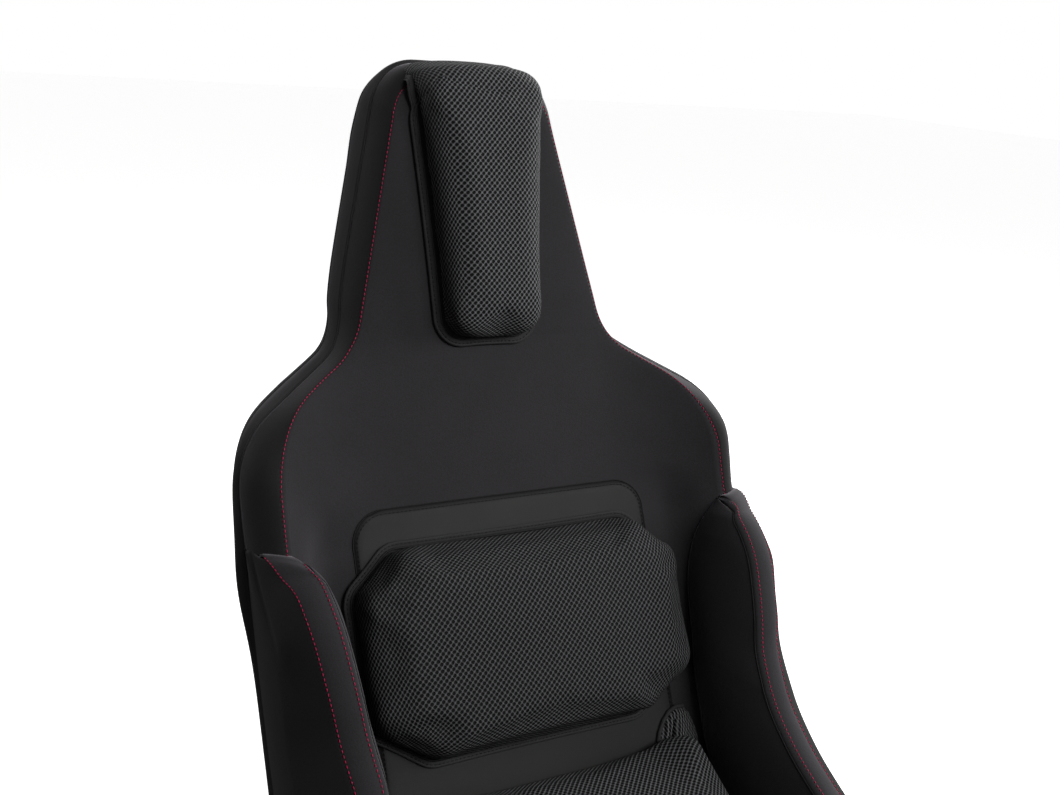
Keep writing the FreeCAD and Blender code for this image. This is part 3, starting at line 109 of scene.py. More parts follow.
class SeatColours(bpy.types.PropertyGroup):
    """Colours of cloth and thread."""

    knit: bpy.props.FloatVectorProperty(
        name="Knit", description="Front cover", subtype="COLOR", size=3, default=(0.0128, 0.0119, 0.0131))
    side_knit: bpy.props.FloatVectorProperty(
        name="Side knit", description="Edge panels, gussets and rear", subtype="COLOR", size=3,
        default=(0.0024, 0.0023, 0.0025))
    yarn: bpy.props.FloatVectorProperty(
        name="Mesh yarn", description="Yarn of the spacer mesh", subtype="COLOR", size=3,
        default=(0.072, 0.073, 0.076))
    # The holes' colour is painted shade: the dark depth seen in each hole.
    holes: bpy.props.FloatVectorProperty(
        name="Mesh holes", description="Depth of the mesh's holes", subtype="COLOR", size=3,
        default=(0.0010, 0.0010, 0.0011))
    coated: bpy.props.FloatVectorProperty(
        name="Coated cloth", description="Loop panel", subtype="COLOR", size=3,
        default=(0.0062, 0.0064, 0.0062))
    thread: bpy.props.FloatVectorProperty(
        name="Thread", description="Top stitching", subtype="COLOR", size=3, default=(0.33, 0.014, 0.060))
    # Dark thread; on the seams' welts it is also painted shade in the seams' grooves.
    dark: bpy.props.FloatVectorProperty(
        name="Dark thread", description="Seams and their welts", subtype="COLOR", size=3,
        default=(0.0016, 0.0016, 0.0017))


# Shader values as expressions


class Signal:
    """A shader value: sums, differences and products of it add Math nodes."""

    def __init__(self, finish, socket):
        self.finish = finish
        self.socket = socket

    def maths(self, operation, *values):
        return self.finish.add("ShaderNodeMath", {"operation": operation}, dict(enumerate(values)))

    def __add__(self, other):
        return self.maths("ADD", self, other)

    def __radd__(self, other):
        return self.maths("ADD", other, self)

    def __sub__(self, other):
        return self.maths("SUBTRACT", self, other)

    def __rsub__(self, other):
        return self.maths("SUBTRACT", other, self)

    def __mul__(self, other):
        return self.maths("MULTIPLY", self, other)

    def __rmul__(self, other):
        return self.maths("MULTIPLY", other, self)

    def least(self, other):
        return self.maths("MINIMUM", self, other)

    def smooth(self, low, high):
        """0 below low, 1 above high and a smooth step between."""
        return self.finish.add("ShaderNodeMapRange", {"interpolation_type": "SMOOTHSTEP"},
                               {0: self, 1: low, 2: high, 3: 0.0, 4: 1.0})


class Finish:
    """A material that is built node by node."""

    def __init__(self, name):
        self.material = bpy.data.materials.new(name)
        self.material.use_nodes = True
        self.tree = self.material.node_tree
        self.shader = self.tree.nodes["Principled BSDF"]

    def add(self, kind, settings=None, values=None, output=0):
        """Adds a node with its settings and its sockets' values or links, and gives one output."""
        node = self.tree.nodes.new(kind)
        for name, setting in (settings or {}).items():
            setattr(node, name, setting)
        for place, value in (values or {}).items():
            self.fill(node.inputs[place], value)
        return Signal(self, node.outputs[output])

    def fill(self, socket, value):
        if isinstance(value, Signal):
            self.tree.links.new(value.socket, socket)
        else:
            socket.default_value = value

    def vectors(self, operation, *values, output=0):
        return self.add("ShaderNodeVectorMath", {"operation": operation}, dict(enumerate(values)), output)

    def place(self):
        return self.add("ShaderNodeTexCoord", output="Object")

    def noise(self, where, scale, detail=2.0, roughness=0.5):
        return self.add("ShaderNodeTexNoise", {},
                        {"Vector": where, "Scale": scale, "Detail": detail, "Roughness": roughness})

    def blend(self, share, first, second):
        """Mix of two colours."""
        return self.add("ShaderNodeMix", {"data_type": "RGBA"},
                        {0: share, 6: first, 7: second}, output=2)

    def relief(self, height, strength, distance):
        bump = self.add("ShaderNodeBump", {}, {"Height": height, "Strength": strength, "Distance": distance})
        self.fill(self.shader.inputs["Normal"], bump)

    def set(self, **values):
        """Sets the shader's own sockets; an underscore in a name stands for a space."""
        for name, value in values.items():
            self.fill(self.shader.inputs[name.replace("_", " ")], value)


def shade(colour, factor):
    return tuple(channel * factor for channel in colour) + (1.0,)


def brushed_knit(name, colour, pile_sheen=0.22):
    """Fine knit with a short raised pile."""
    finish = Finish(name)
    where = finish.place()
    pile = finish.noise(where, 1400.0, 2.0)
    stitches = finish.noise(where, 520.0, 3.0)
    patches = finish.noise(where, 14.0, 3.0)
    tone = pile * 0.45 + stitches * 0.35 + patches * 0.55
    finish.set(Base_Color=finish.blend(tone.smooth(0.35, 0.95), shade(colour, 0.7), shade(colour, 1.45)),
               Roughness=patches * 0.12 + 0.82, Sheen_Weight=pile_sheen, Sheen_Roughness=0.45,
               Sheen_Tint=(0.85, 0.8, 0.86, 1.0), Specular_IOR_Level=0.18)
    finish.relief(pile * 0.4 + stitches * 0.8 + patches * 3.0, 0.5, 0.0004)
    return finish.material


def spacer_mesh(name, yarn, holes, pitch, rows):
    """Knitted spacer mesh: rows of round holes, each row half a pitch beside the next, with painted shade in
    the holes and a painted highlight on the yarn's crowns.
    """
    finish = Finish(name)
    run = finish.add("ShaderNodeUVMap", {"uv_map": "cloth"})
    where = finish.place()
    wobble = finish.add("ShaderNodeTexNoise", {}, {"Vector": run, "Scale": 160.0, "Detail": 1.0}, "Color")
    shifted = finish.vectors("MULTIPLY_ADD", wobble, (0.0009, 0.0009, 0.0), run)
    cells = finish.vectors("MULTIPLY", shifted, (1 / pitch, 0.5 / rows, 0.0))
    ratio = 2 * rows / pitch

    def to_nearest(shift):
        """Distance to the nearest hole of every second row; the holes are longer one way."""
        cell = finish.vectors("FRACTION", finish.vectors("ADD", cells, (shift, shift, 0.0)))
        middle = finish.vectors("SUBTRACT", cell, (0.5, 0.5, 0.0))

        def measure(x, y, stretch):
            axis = (x * stretch, y * ratio * stretch, 0.0)
            return finish.vectors("DOT_PRODUCT", middle, axis, output="Value")

        along = measure(0.68, 0.73, 0.91)
        beside = measure(-0.73, 0.68, 1.07)
        square = along * along + beside * beside
        return square.maths("SQRT", square)

    reach = to_nearest(0.0).least(to_nearest(0.5))
    solid = reach.smooth(0.18, 0.29)
    fibre = finish.noise(where, 1900.0, 2.0)
    patches = finish.noise(where, 9.0, 2.0)
    # The yarn's crowns, farthest from the holes, are painted lighter: a painted highlight where the raised
    # knots catch the light.
    crown = reach.smooth(0.25, 0.47)
    tone = fibre * 0.45 + crown * 0.7
    lit = finish.blend(tone.smooth(0.15, 1.05), shade(yarn, 0.4), shade(yarn, 1.8))
    # Base colour: the near-black hole colour is painted shade in the holes, and the lit yarn lies between
    # them.
    finish.set(Base_Color=finish.blend(solid, holes + (1.0,), lit), Roughness=patches * 0.1 + 0.7,
               Specular_IOR_Level=0.08)
    finish.relief(solid + fibre * 0.2 + crown * 0.4, 0.9, 0.0010)
    return finish.material


def coated_cloth(name, colour):
    """Smooth coated cloth with a fine pressed grain."""
    finish = Finish(name)
    where = finish.place()
    grain = finish.add("ShaderNodeTexVoronoi", {"feature": "DISTANCE_TO_EDGE"},
                       {"Vector": where, "Scale": 700.0})
    cloud = finish.noise(where, 22.0, 3.0)
    finish.set(Base_Color=finish.blend(cloud.smooth(0.3, 0.7), shade(colour, 0.85), shade(colour, 1.15)),
               Roughness=cloud * 0.15 + 0.6, Specular_IOR_Level=0.2)
    finish.relief(grain.smooth(0.0, 0.12) * 0.4 + cloud, 0.35, 0.0005)
    return finish.material


def plain_weave(name, colour, scale):
    """Woven cloth: binding, backing and webbing."""
    finish = Finish(name)
    where = finish.place()
    warp = finish.add("ShaderNodeTexWave", {"bands_direction": "X"}, {"Vector": where, "Scale": scale})
    weft = finish.add("ShaderNodeTexWave", {"bands_direction": "Z"}, {"Vector": where, "Scale": scale})
    weave = warp * weft
    cloud = finish.noise(where, 30.0, 2.0)
    finish.set(Base_Color=finish.blend(weave, shade(colour, 0.7), shade(colour, 1.3)),
               Roughness=cloud * 0.15 + 0.72, Specular_IOR_Level=0.25)
    finish.relief(weave + cloud * 0.5, 0.4, 0.0004)
    return finish.material


def sewing_thread(name, colour):
    """Twisted thread."""
    finish = Finish(name)
    where = finish.place()
    twist = finish.noise(where, 3000.0, 1.0)
    finish.set(Base_Color=finish.blend(twist.smooth(0.35, 0.7), shade(colour, 0.75), shade(colour, 1.3)),
               Roughness=twist * 0.1 + 0.6, Specular_IOR_Level=0.15)
    finish.relief(twist, 0.3, 0.0002)
    return finish.material


def powder_coat(name):
    """Black paint on steel, with a fine orange peel."""
    finish = Finish(name)
    where = finish.place()
    peel = finish.noise(where, 650.0, 2.0)
    wear = finish.noise(where, 25.0, 5.0)
    coat, rubbed = (0.012, 0.012, 0.013, 1.0), (0.03, 0.03, 0.031, 1.0)
    finish.set(Base_Color=finish.blend(wear.smooth(0.62, 0.8), coat, rubbed),
               Roughness=wear * 0.25 + 0.32, Specular_IOR_Level=0.5)
    finish.relief(peel, 0.2, 0.0003)
    return finish.material


def zinc_plate(name):
    """Zinc plated steel."""
    finish = Finish(name)
    where = finish.place()
    cloud = finish.noise(where, 140.0, 4.0)
    finish.set(Base_Color=finish.blend(cloud, (0.42, 0.42, 0.43, 1.0), (0.62, 0.62, 0.61, 1.0)),
               Roughness=cloud * 0.25 + 0.25, Metallic=1.0)
    finish.relief(cloud, 0.1, 0.0002)
    return finish.material


def moulded_foam(name):
    """Open foam, only inside the covers."""
    finish = Finish(name)
    where = finish.place()
    cells = finish.add("ShaderNodeTexVoronoi", {}, {"Vector": where, "Scale": 600.0})
    weave = finish.blend(cells, (0.05, 0.05, 0.05, 1.0), (0.16, 0.16, 0.155, 1.0))
    finish.set(Base_Color=weave, Roughness=0.95)
    finish.relief(cells, 0.5, 0.0008)
    return finish.material


finishes = {}


def make_finishes(colours, sizes):
    """Makes every material; the lumbar pad's yarn and the bolsters' flanks are darker copies that paint
    shade on them.
    """
    holes = tuple(colours.holes)
    grid = sizes.mesh_pitch, sizes.mesh_rows
    # The lumbar pad's yarn is a darker copy of the same yarn: painted shade, as less light reaches the lower
    # back.
    shaded_lumbar_yarn = tuple(0.62 * channel for channel in colours.yarn)
    # The bolsters' outer flanks are a darker copy of the side knit with little sheen: painted shade on the
    # sides that face away from the light.
    shaded_flank = tuple(0.4 * channel for channel in colours.side_knit)
    finishes["knit"] = brushed_knit("brushed_knit", tuple(colours.knit))
    finishes["side_knit"] = brushed_knit("side_knit", tuple(colours.side_knit))
    finishes["shaded_flank_knit"] = brushed_knit("shaded_flank_knit", shaded_flank, 0.05)
    finishes["mesh"] = spacer_mesh("spacer_mesh", tuple(colours.yarn), holes, *grid)
    finishes["shaded_lumbar_mesh"] = spacer_mesh("shaded_lumbar_mesh", shaded_lumbar_yarn, holes, *grid)
    finishes["coated"] = coated_cloth("coated_cloth", tuple(colours.coated))
    finishes["binding"] = plain_weave("binding_weave", (0.013, 0.013, 0.0135), 160.0)
    finishes["backing"] = plain_weave("backing_weave", (0.012, 0.012, 0.012), 220.0)
    finishes["thread"] = sewing_thread("red_thread", tuple(colours.thread))
    finishes["dark_thread_and_seam_shade"] = sewing_thread("dark_thread_and_seam_shade", tuple(colours.dark))
    finishes["paint"] = powder_coat("powder_coat")
    finishes["zinc"] = zinc_plate("zinc_plate")
    finishes["foam"] = moulded_foam("moulded_foam")


# Meshes from grids of points


def edit(mesh, *steps):
    """Runs steps on a mesh's editable shape."""
    shape = bmesh.new()
    shape.from_mesh(mesh)
    for step in steps:
        step(shape)
    shape.to_mesh(mesh)
    shape.free()


def points_of(piece):
    """A piece's points in millimetres."""
    return np.array([v.co for v in piece.data.vertices]) / MM


def move_points(piece, points):
    piece.data.vertices.foreach_set("co", (points * MM).ravel())


def new_piece(name, points, faces):
    mesh = bpy.data.meshes.new(name)
    mesh.from_pydata([tuple(p * MM) for p in points], [], faces)
    mesh.validate()
    edit(mesh, lambda shape: bmesh.ops.remove_doubles(shape, verts=shape.verts, dist=1e-5),
         lambda shape: bmesh.ops.dissolve_degenerate(shape, edges=shape.edges, dist=1e-6))
    mesh.shade_smooth()
    piece = bpy.data.objects.new(name, mesh)
    bpy.context.scene.collection.objects.link(piece)
    return piece


def grid_faces(rows, columns, start=0, closed=False):
    """Quads of a grid whose rows run one way and columns the other."""
    faces = []
    last = columns if closed else columns - 1
    for i in range(rows - 1):
        for j in range(last):
            k = (j + 1) % columns
            faces.append((start + i * columns + j, start + i * columns + k,
                          start + (i + 1) * columns + k, start + (i + 1) * columns + j))
    return faces


def even_normals(shape):
    bmesh.ops.recalc_face_normals(shape, faces=shape.faces)


def turn_outwards(piece, inside):
    """Turns the faces so that they look away from a point inside, given in millimetres."""
    middle = Vector(inside) * MM

    def turn(shape):
        facing = sum((face.calc_center_median() - middle).dot(face.normal) * face.calc_area()
                     for face in shape.faces)
        if facing < 0:
            bmesh.ops.reverse_faces(shape, faces=shape.faces)

    edit(piece.data, even_normals, turn)


def sheet_piece(name, grid, inside, thickness, finish, body, stands_for=()):
    """A panel of cloth from a grid of points of its outer face, finished and riding on a body."""
    rows, columns = grid.shape[:2]
    piece = new_piece(name, grid.reshape(-1, 3), grid_faces(rows, columns))
    turn_outwards(piece, inside)
    wall = piece.modifiers.new("wall", "SOLIDIFY")
    wall.thickness = thickness * MM
    wall.offset = -1.0
    finish_piece(piece, finish, body, stands_for)
    return piece


def lay_cloth(piece, grid, flat):
    """Gives a sheet its cloth's own coordinates: flat has one pair for each point of its grid."""
    spots = grid.reshape(-1, 3)
    nearest = [int(np.argmin(np.sum((spots - spot) ** 2, axis=1))) for spot in points_of(piece)]
    set_cloth_layer(piece.data, flat.reshape(-1, 2)[nearest])


def set_cloth_layer(mesh, pairs):
    """Writes one pair of cloth coordinates, in millimetres, for each point of a mesh."""
    numbers = np.zeros(len(mesh.loops), int)
    mesh.loops.foreach_get("vertex_index", numbers)
    mesh.uv_layers.new(name="cloth").data.foreach_set("uv", (pairs[numbers] * MM).ravel())


def flat_mesh(piece):
    """Applies a piece's modifiers."""
    graph = bpy.context.evaluated_depsgraph_get()
    done = bpy.data.meshes.new_from_object(piece.evaluated_get(graph))
    old = piece.data
    piece.modifiers.clear()
    piece.data = done
    done.name = piece.name
    bpy.data.meshes.remove(old)


def finish_piece(piece, finish, body, stands_for=()):
    """Gives a piece its material, the body it rides on and the nodes it stands for."""
    piece.data.materials.clear()
    piece.data.materials.append(finishes[finish])
    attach(piece, body)
    if stands_for:
        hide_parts(*stands_for)


def smooth_step(value, low, high):
    share = np.clip((np.asarray(value, float) - low) / (high - low), 0, 1)
    return share * share * (3 - 2 * share)


def spline(points, count):
    """A smooth line through points, resampled evenly."""
    points = np.asarray(points, float)
    ends = np.vstack([2 * points[0] - points[1], points, 2 * points[-1] - points[-2]])
    fine = []
    for a, b, c, d in zip(ends, ends[1:], ends[2:], ends[3:]):
        for t in np.linspace(0, 1, 24, endpoint=False):
            fine.append(0.5 * (2 * b + (c - a) * t + (2 * a - 5 * b + 4 * c - d) * t ** 2
                               + (3 * b - a - 3 * c + d) * t ** 3))
    fine.append(points[-1])
    return resample(np.array(fine), count)


def run_along(line):
    """Distance along a line at each of its points."""
    return np.concatenate([[0], np.cumsum(np.linalg.norm(np.diff(line, axis=0), axis=1))])


def direction(line):
    """Unit direction of a line at each of its points."""
    ahead = np.gradient(line, axis=0)
    return ahead / np.linalg.norm(ahead, axis=1)[:, None]


def resample(line, count):
    steps = np.linalg.norm(np.diff(line, axis=0), axis=1)
    run = np.concatenate([[0], np.cumsum(steps)])
    where = np.linspace(0, run[-1], count)
    return np.stack([np.interp(where, run, line[:, k]) for k in range(line.shape[1])], axis=1)


class Corner:
    """A rounded corner of a path, with its points at shares from 0 to 1."""

    def __init__(self, before, corner, after, radius, room=math.inf):
        back = (before - corner) / np.linalg.norm(before - corner)
        self.onward = (after - corner) / np.linalg.norm(after - corner)
        half = math.acos(np.clip(back @ self.onward, -1, 1)) / 2
        self.reach = min(radius / math.tan(half), room)
        axis = (back + self.onward) / np.linalg.norm(back + self.onward)
        self.centre = corner + axis * (self.reach * math.tan(half)) / math.sin(half)
        self.start = corner + back * self.reach - self.centre
        self.end = corner + self.onward * self.reach - self.centre
        self.turn = math.pi - 2 * half

    def at(self, share):
        near, far = math.sin((1 - share) * self.turn), math.sin(share * self.turn)
        return self.centre + (near * self.start + far * self.end) / math.sin(self.turn)


def rounded(corners, radii, step=2.0):
    """Points of a path whose inner corners are rounded."""
    corners = [np.asarray(c, float) for c in corners]
    line = [corners[0]]
    for before, corner, after, radius in zip(corners, corners[1:], corners[2:], radii):
        bend = Corner(before, corner, after, radius)
        count = max(int(bend.turn * radius / step), 4)
        line += [bend.at(k / count) for k in range(count + 1)]
    line.append(corners[-1])
    return np.array(line)


def slope(degrees):
    return math.tan(math.radians(degrees))


# Stitching and welts along lines


def line_object(name, lines):
    """Loose edges along lines of points in millimetres."""
    points = []
    edges = []
    for line in lines:
        first = len(points)
        points += [tuple(p * MM) for p in line]
        edges += [(first + k, first + k + 1) for k in range(len(line) - 1)]
    mesh = bpy.data.meshes.new(name)
    mesh.from_pydata(points, edges, [])
    piece = bpy.data.objects.new(name, mesh)
    bpy.context.scene.collection.objects.link(piece)
    return piece


def wire(tree, nodes, links, made=None):
    """Adds nodes, each as type, settings and values, then links: node, output, node, input."""
    made = dict(made or {})
    for name, (kind, settings, values) in nodes.items():
        made[name] = tree.nodes.new(kind)
        for key, setting in settings.items():
            setattr(made[name], key, setting)
        for key, value in values.items():
            made[name].inputs[key].default_value = value
    for start, output, end, place in links:
        tree.links.new(made[start].outputs[output], made[end].inputs[place])


def sewing_tree(name, inputs, nodes, links):
    """A tree that makes curves of its lines, sews along them and gives the work its material."""
    tree = bpy.data.node_groups.new(name, "GeometryNodeTree")
    for label, kind in (("Lines", "Geometry"),) + inputs:
        tree.interface.new_socket(label, in_out="INPUT", socket_type="NodeSocket" + kind)
    tree.interface.new_socket("Sewn", in_out="OUTPUT", socket_type="NodeSocketGeometry")
    wire(tree, {"given": ("NodeGroupInput", {}, {}), "result": ("NodeGroupOutput", {}, {}),
                "curve": ("GeometryNodeMeshToCurve", {}, {}),
                "real": ("GeometryNodeRealizeInstances", {}, {}),
                "paint": ("GeometryNodeSetMaterial", {}, {}), **nodes},
         (("given", "Lines", "curve", "Mesh"), ("real", "Geometry", "paint", "Geometry"),
          ("paint", "Geometry", "result", "Sewn")) + links)
    return tree


def stitch_tree():
    """Short round stitches, one each pitch along the lines."""
    return sewing_tree(
        "stitch_run",
        (("Pitch", "Float"), ("Length", "Float"), ("Radius", "Float"), ("Thread", "Material")),
        {"places": ("GeometryNodeCurveToPoints", {"mode": "LENGTH"}, {}),
         "stitch": ("GeometryNodeMeshUVSphere", {}, {"Segments": 6, "Rings": 4, "Radius": 1.0}),
         "size": ("ShaderNodeCombineXYZ", {}, {}),
         "half": ("ShaderNodeMath", {"operation": "MULTIPLY"}, {1: 0.5}),
         "turn": ("FunctionNodeAlignRotationToVector", {"axis": "Z"}, {}),
         "spread": ("GeometryNodeInstanceOnPoints", {}, {})},
        (("curve", "Curve", "places", "Curve"), ("given", "Pitch", "places", "Length"),
         ("given", "Length", "half", 0), ("given", "Radius", "size", 0), ("given", "Radius", "size", 1),
         ("half", 0, "size", 2), ("places", "Points", "spread", "Points"),
         ("places", "Tangent", "turn", "Vector"), ("turn", "Rotation", "spread", "Rotation"),
         ("size", 0, "spread", "Scale"), ("stitch", "Mesh", "spread", "Instance"),
         ("spread", "Instances", "real", "Geometry"), ("given", "Thread", "paint", "Material")))


def welt_tree():
    """A round welt along the lines."""
    return sewing_tree(
        "welt_run", (("Radius", "Float"), ("Cloth", "Material")),
        {"ring": ("GeometryNodeCurvePrimitiveCircle", {}, {"Resolution": 8}),
         "sweep": ("GeometryNodeCurveToMesh", {}, {"Fill Caps": True})},
        (("given", "Radius", "ring", "Radius"), ("curve", "Curve", "sweep", "Curve"),
         ("ring", "Curve", "sweep", "Profile Curve"), ("sweep", "Mesh", "real", "Geometry"),
         ("given", "Cloth", "paint", "Material")))


trees = {}


def sew(name, lines, tree, values, body):
    """Runs a sewing tree along lines and keeps its result as a plain mesh."""
    if tree not in trees:
        trees[tree] = {"stitch": stitch_tree, "welt": welt_tree}[tree]()
    piece = line_object(name, lines)
    run = piece.modifiers.new(name, "NODES")
    run.node_group = trees[tree]
    sockets = {item.name: item.identifier for item in trees[tree].interface.items_tree}
    for label, value in values.items():
        run[sockets[label]] = value
    flat_mesh(piece)
    piece.data.shade_smooth()
    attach(piece, body)


def stitch(name, lines, body, thread="thread"):
    sizes = bpy.context.scene.seat_sizes
    sew(name, lines, "stitch", {"Pitch": sizes.stitch_pitch, "Length": sizes.stitch_length,
                                "Radius": sizes.thread_radius, "Thread": finishes[thread]}, body)


# Welts in the dark thread are partly the seam's own dark colour and partly painted shade in its groove.
def welt(name, lines, body, radius=None, cloth="dark_thread_and_seam_shade"):
    radius = radius or bpy.context.scene.seat_sizes.seam_radius
    sew(name, lines, "welt", {"Radius": radius, "Cloth": finishes[cloth]}, body)


def both_sides(*lines):
    """Lines of the left side, then the same lines of the right side."""
    return list(lines) + [line * np.array([-1.0, 1.0, 1.0]) for line in lines]


# The back


def back_line(height):
    """Y of the back's front surface on the centre plane."""
    height = np.asarray(height, float)
    lumbar = np.clip(height, BASE_TOP, UPPER_BEND) - BASE_TOP
    upper = np.clip(height, UPPER_BEND, NECK) - UPPER_BEND
    head = np.maximum(height - NECK, 0)
    return (CREASE_SETBACK + lumbar * slope(LUMBAR_RECLINE) + upper * slope(UPPER_RECLINE)
            + head * slope(HEAD_RECLINE))


def wrap(across, radius):
    run = np.clip(np.abs(across) - WING_START, 0, radius * 0.98)
    return radius - np.sqrt(radius ** 2 - run ** 2)


def front_depth(across, height):
    """Y of the back's front surface anywhere: flat behind the loop panel, wrapped at the wings."""
    fade = smooth_step(height, 378, 432)
    fade = 1 - (1 - fade) * (1 - smooth_step(np.abs(across), 196, 240))
    return back_line(height) - wrap(across, WING_RADIUS) * fade


def rear_depth(across, height):
    """Y of the rear cover, which sinks in towards the head's top."""
    return (back_line(height) + BACK_THICKNESS - wrap(across, WING_RADIUS + BACK_THICKNESS)
            - 16 * smooth_step(height, 760, OUTLINE_TOP))


def outline(low):
    """Half of the stitched outline from a low height to the middle of the head's top, as X and Z."""
    neck = NECK - 4.5
    head_half = NECK_HALF - (OUTLINE_TOP - neck) * slope(13.8)
    corners = [(SHOULDER_HALF, low), (SHOULDER_HALF, 502.5), (NECK_HALF, neck), (head_half, OUTLINE_TOP),
               (0.0, OUTLINE_TOP)]
    return rounded(corners, [90.0, 70.0, 42.0])


def outline_rows(low, count):
    """The outline evenly resampled, and its outward direction."""
    line = resample(outline(low), count)
    ahead = direction(line)
    outward = np.stack([ahead[:, 1], -ahead[:, 0]], axis=1)
    outward[-1] = (0, 1)
    return line, outward


def edge_sizes(height):
    """Width and depth of the edge roll along the outline."""
    levels = [395, 454, 487, 500, 510, 520, 548, 563, 590, 640, 780, 822]
    widths = [28, 31, 26, 16, 8, 3, 3, 7, 13, 13.5, 13, 16.5]
    depths = [41, 34, 31, 30, 28, 26, 23, 24, 28, 31, 30, 24]
    soft = np.hanning(25) / np.sum(np.hanning(25))
    return [np.convolve(np.pad(np.interp(height, levels, values), 12, mode="edge"), soft, mode="valid")
            for values in (widths, depths)]


def full_width(half):
    """A half given from the side to the centre, completed across the centre plane."""
    other = half[:, ::-1] * np.array([-1.0, 1.0, 1.0])
    return np.concatenate([half, other[:, 1:]], axis=1)


def fan(start, depth_at, share):
    """Grid from an outline in to the centre plane, where the rows of the head's top end lower."""
    top = start[-1, 1]
    centre = start[:, 1] - 78 * smooth_step(start[:, 1], top - 230, top)
    across = start[:, None, 0] * (1 - share)
    height = start[:, None, 1] * (1 - share) + centre[:, None] * share
    return np.stack([across, depth_at(across, height), height], axis=2)


def beside(line, outward, outs, depths):
    """Grid beside a line: each column lies so far out of it in X and Z, at its own Y."""
    columns = [np.stack([line[:, 0] + outward[:, 0] * out, depth, line[:, -1] + outward[:, 1] * out], axis=1)
               for out, depth in zip(outs, depths)]
    grid = np.stack(columns, axis=1)
    grid[-1, :, 0] = 0
    return grid


def make_back():
    """The back's front panel, edge rolls, gussets and rear cover, with their seams."""
    line, outward = outline_rows(SKIRT, 300)
    height = line[:, 1]
    width, depth = edge_sizes(height)
    below_top = 1 - smooth_step(height, 800, OUTLINE_TOP)

    # Front panel, a little pulled in along its stitched edge
    front = fan(line, front_depth, np.linspace(0, 1, 56) ** 0.92)
    reach = np.abs(front[:, :1, 0] - front[:, :, 0]) + np.abs(front[:, :1, 2] - front[:, :, 2])
    front[:, :, 1] += 2.2 * np.exp(-reach / 9.0)
    front[:, :, 1] += 9.0 * smooth_step(front[:, :, 2], HEAD_TOP - 60, HEAD_TOP - 10) ** 2
    edge_y = front[:, 0, 1]
    sheet_piece("back_front_panel", full_width(front), (0, 600, 500), 3.0, "knit", "seat_shell",
                ("back_front_cover", "back_foam"))

    # Edge roll from the stitches to the side seam: round, but nearly straight above the shoulders
    straight = 0.75 * smooth_step(height, 462, 505) * below_top
    outs, depths = [], []
    for turn, share in zip(np.radians(np.linspace(0, 90, 12)), np.arange(12) / 11):
        outs.append(width * (math.sin(turn) * (1 - straight) + share * straight))
        depths.append(edge_y + (depth * ((1 - math.cos(turn)) * (1 - straight) + share * straight)
                                - 1.2 * math.sin(2 * turn)))
    roll = beside(line, outward, outs, depths)
    stitch_line, seam_line = roll[:, 0], roll[:, -1]

    # Gusset from the side seam to the rear corner, then the corner itself
    corner = 13 + 12 * smooth_step(height, 420, 480) * (1 - smooth_step(height, 540, 600))
    rear_y = rear_depth(seam_line[:, 0], height)
    rear_y += 8 * smooth_step(height, 535, 640) * below_top
    rear_y += 2.5 * smooth_step(height, 725, 760) * (1 - smooth_step(height, 785, 815))
    steps = np.linspace(0, 1, 10)
    puff = 3.0 + 6.5 * np.exp(-((height - 362) / 48) ** 2)
    gusset = beside(seam_line, outward, [puff * math.sin(math.pi * step ** 1.3) for step in steps],
                    [seam_line[:, 1] + (rear_y - corner - seam_line[:, 1]) * step for step in steps])
    turns = np.radians(np.linspace(0, 90, 7))
    tuck = np.minimum(corner, 14 + 0.5 * (corner - 14))
    round_rear = beside(seam_line, outward, [-tuck * (1 - math.cos(turn)) for turn in turns],
                        [rear_y - corner + corner * math.sin(turn) for turn in turns])

    for side, name in ((1, "left"), (-1, "right")):
        mirror = np.array([side, 1.0, 1.0])
        sheet_piece("edge_panel_" + name, roll * mirror, (0, 600, 500), 2.5, "side_knit", "seat_shell",
                    ("back_edge_panel_" + name,))
        sheet_piece("side_gusset_" + name, gusset * mirror, (0, 350, 400), 2.5, "side_knit", "seat_shell",
                    ("back_gusset_" + name,))

    # Rear cover
    rim = round_rear[:, -1]
    rear = fan(np.stack([np.maximum(rim[:, 0], 0), rim[:, 2]], axis=1), rear_depth, np.linspace(0, 1, 40))
    rear = np.concatenate([round_rear, rear[:, 1:]], axis=1)
    sheet_piece("rear_panel", full_width(rear), (0, 200, 400), 2.5, "side_knit", "seat_shell",
                ("rear_cover",))

    stitch("back_top_stitch", both_sides(stitch_line[stitch_line[:, 2] > 400] + np.array([0, -0.5, 0])),
           "seat_shell")
    welt("back_side_seam", both_sides(seam_line[seam_line[:, 2] > 395]), "seat_shell")
    welt("rear_seam", both_sides(round_rear[:, 0]), "seat_shell", 0.0012)


# The bolsters

# Front edge of a bolster in its side view, from the tip to the toe: y and z
BOLSTER_EDGE = [(250, 398), (228, 397), (206, 392), (187, 381), (166, 361), (148, 332), (134, 304),
                (122, 275), (100, 246), (81, 224), (52, 201), (23, 184), (-8, 170), (-45, 162),
                (-90, 163), (-135, 171), (-170, 179), (-200, 182), (-228, 178), (-252, 165),
                (-270, 144), (-281, 118), (-285, 90), (-285, 60), (-285, SKIRT)]
# Where the inner panel ends on the back and the base, point for point: x, y and z
BOLSTER_ROOT = [(251, 256, 397), (245, 257, 389), (238, 258, 379), (231, 259, 366), (225, 259, 350),
                (219, 255, 330), (214, 247, 305), (211, 235, 278), (208, 220, 248), (204, 204, 216),
                (203, 186, 178), (203, 166, 140), (203, 130, 100), (203, 70, 91), (203, 0, 91),
                (203, -70, 91), (203, -125, 91), (203, -170, 91), (203, -205, 91), (203, -235, 90),
                (203, -256, 86), (203, -267, 76), (203, -271, 62), (203, -271, 45), (203, -271, SKIRT)]
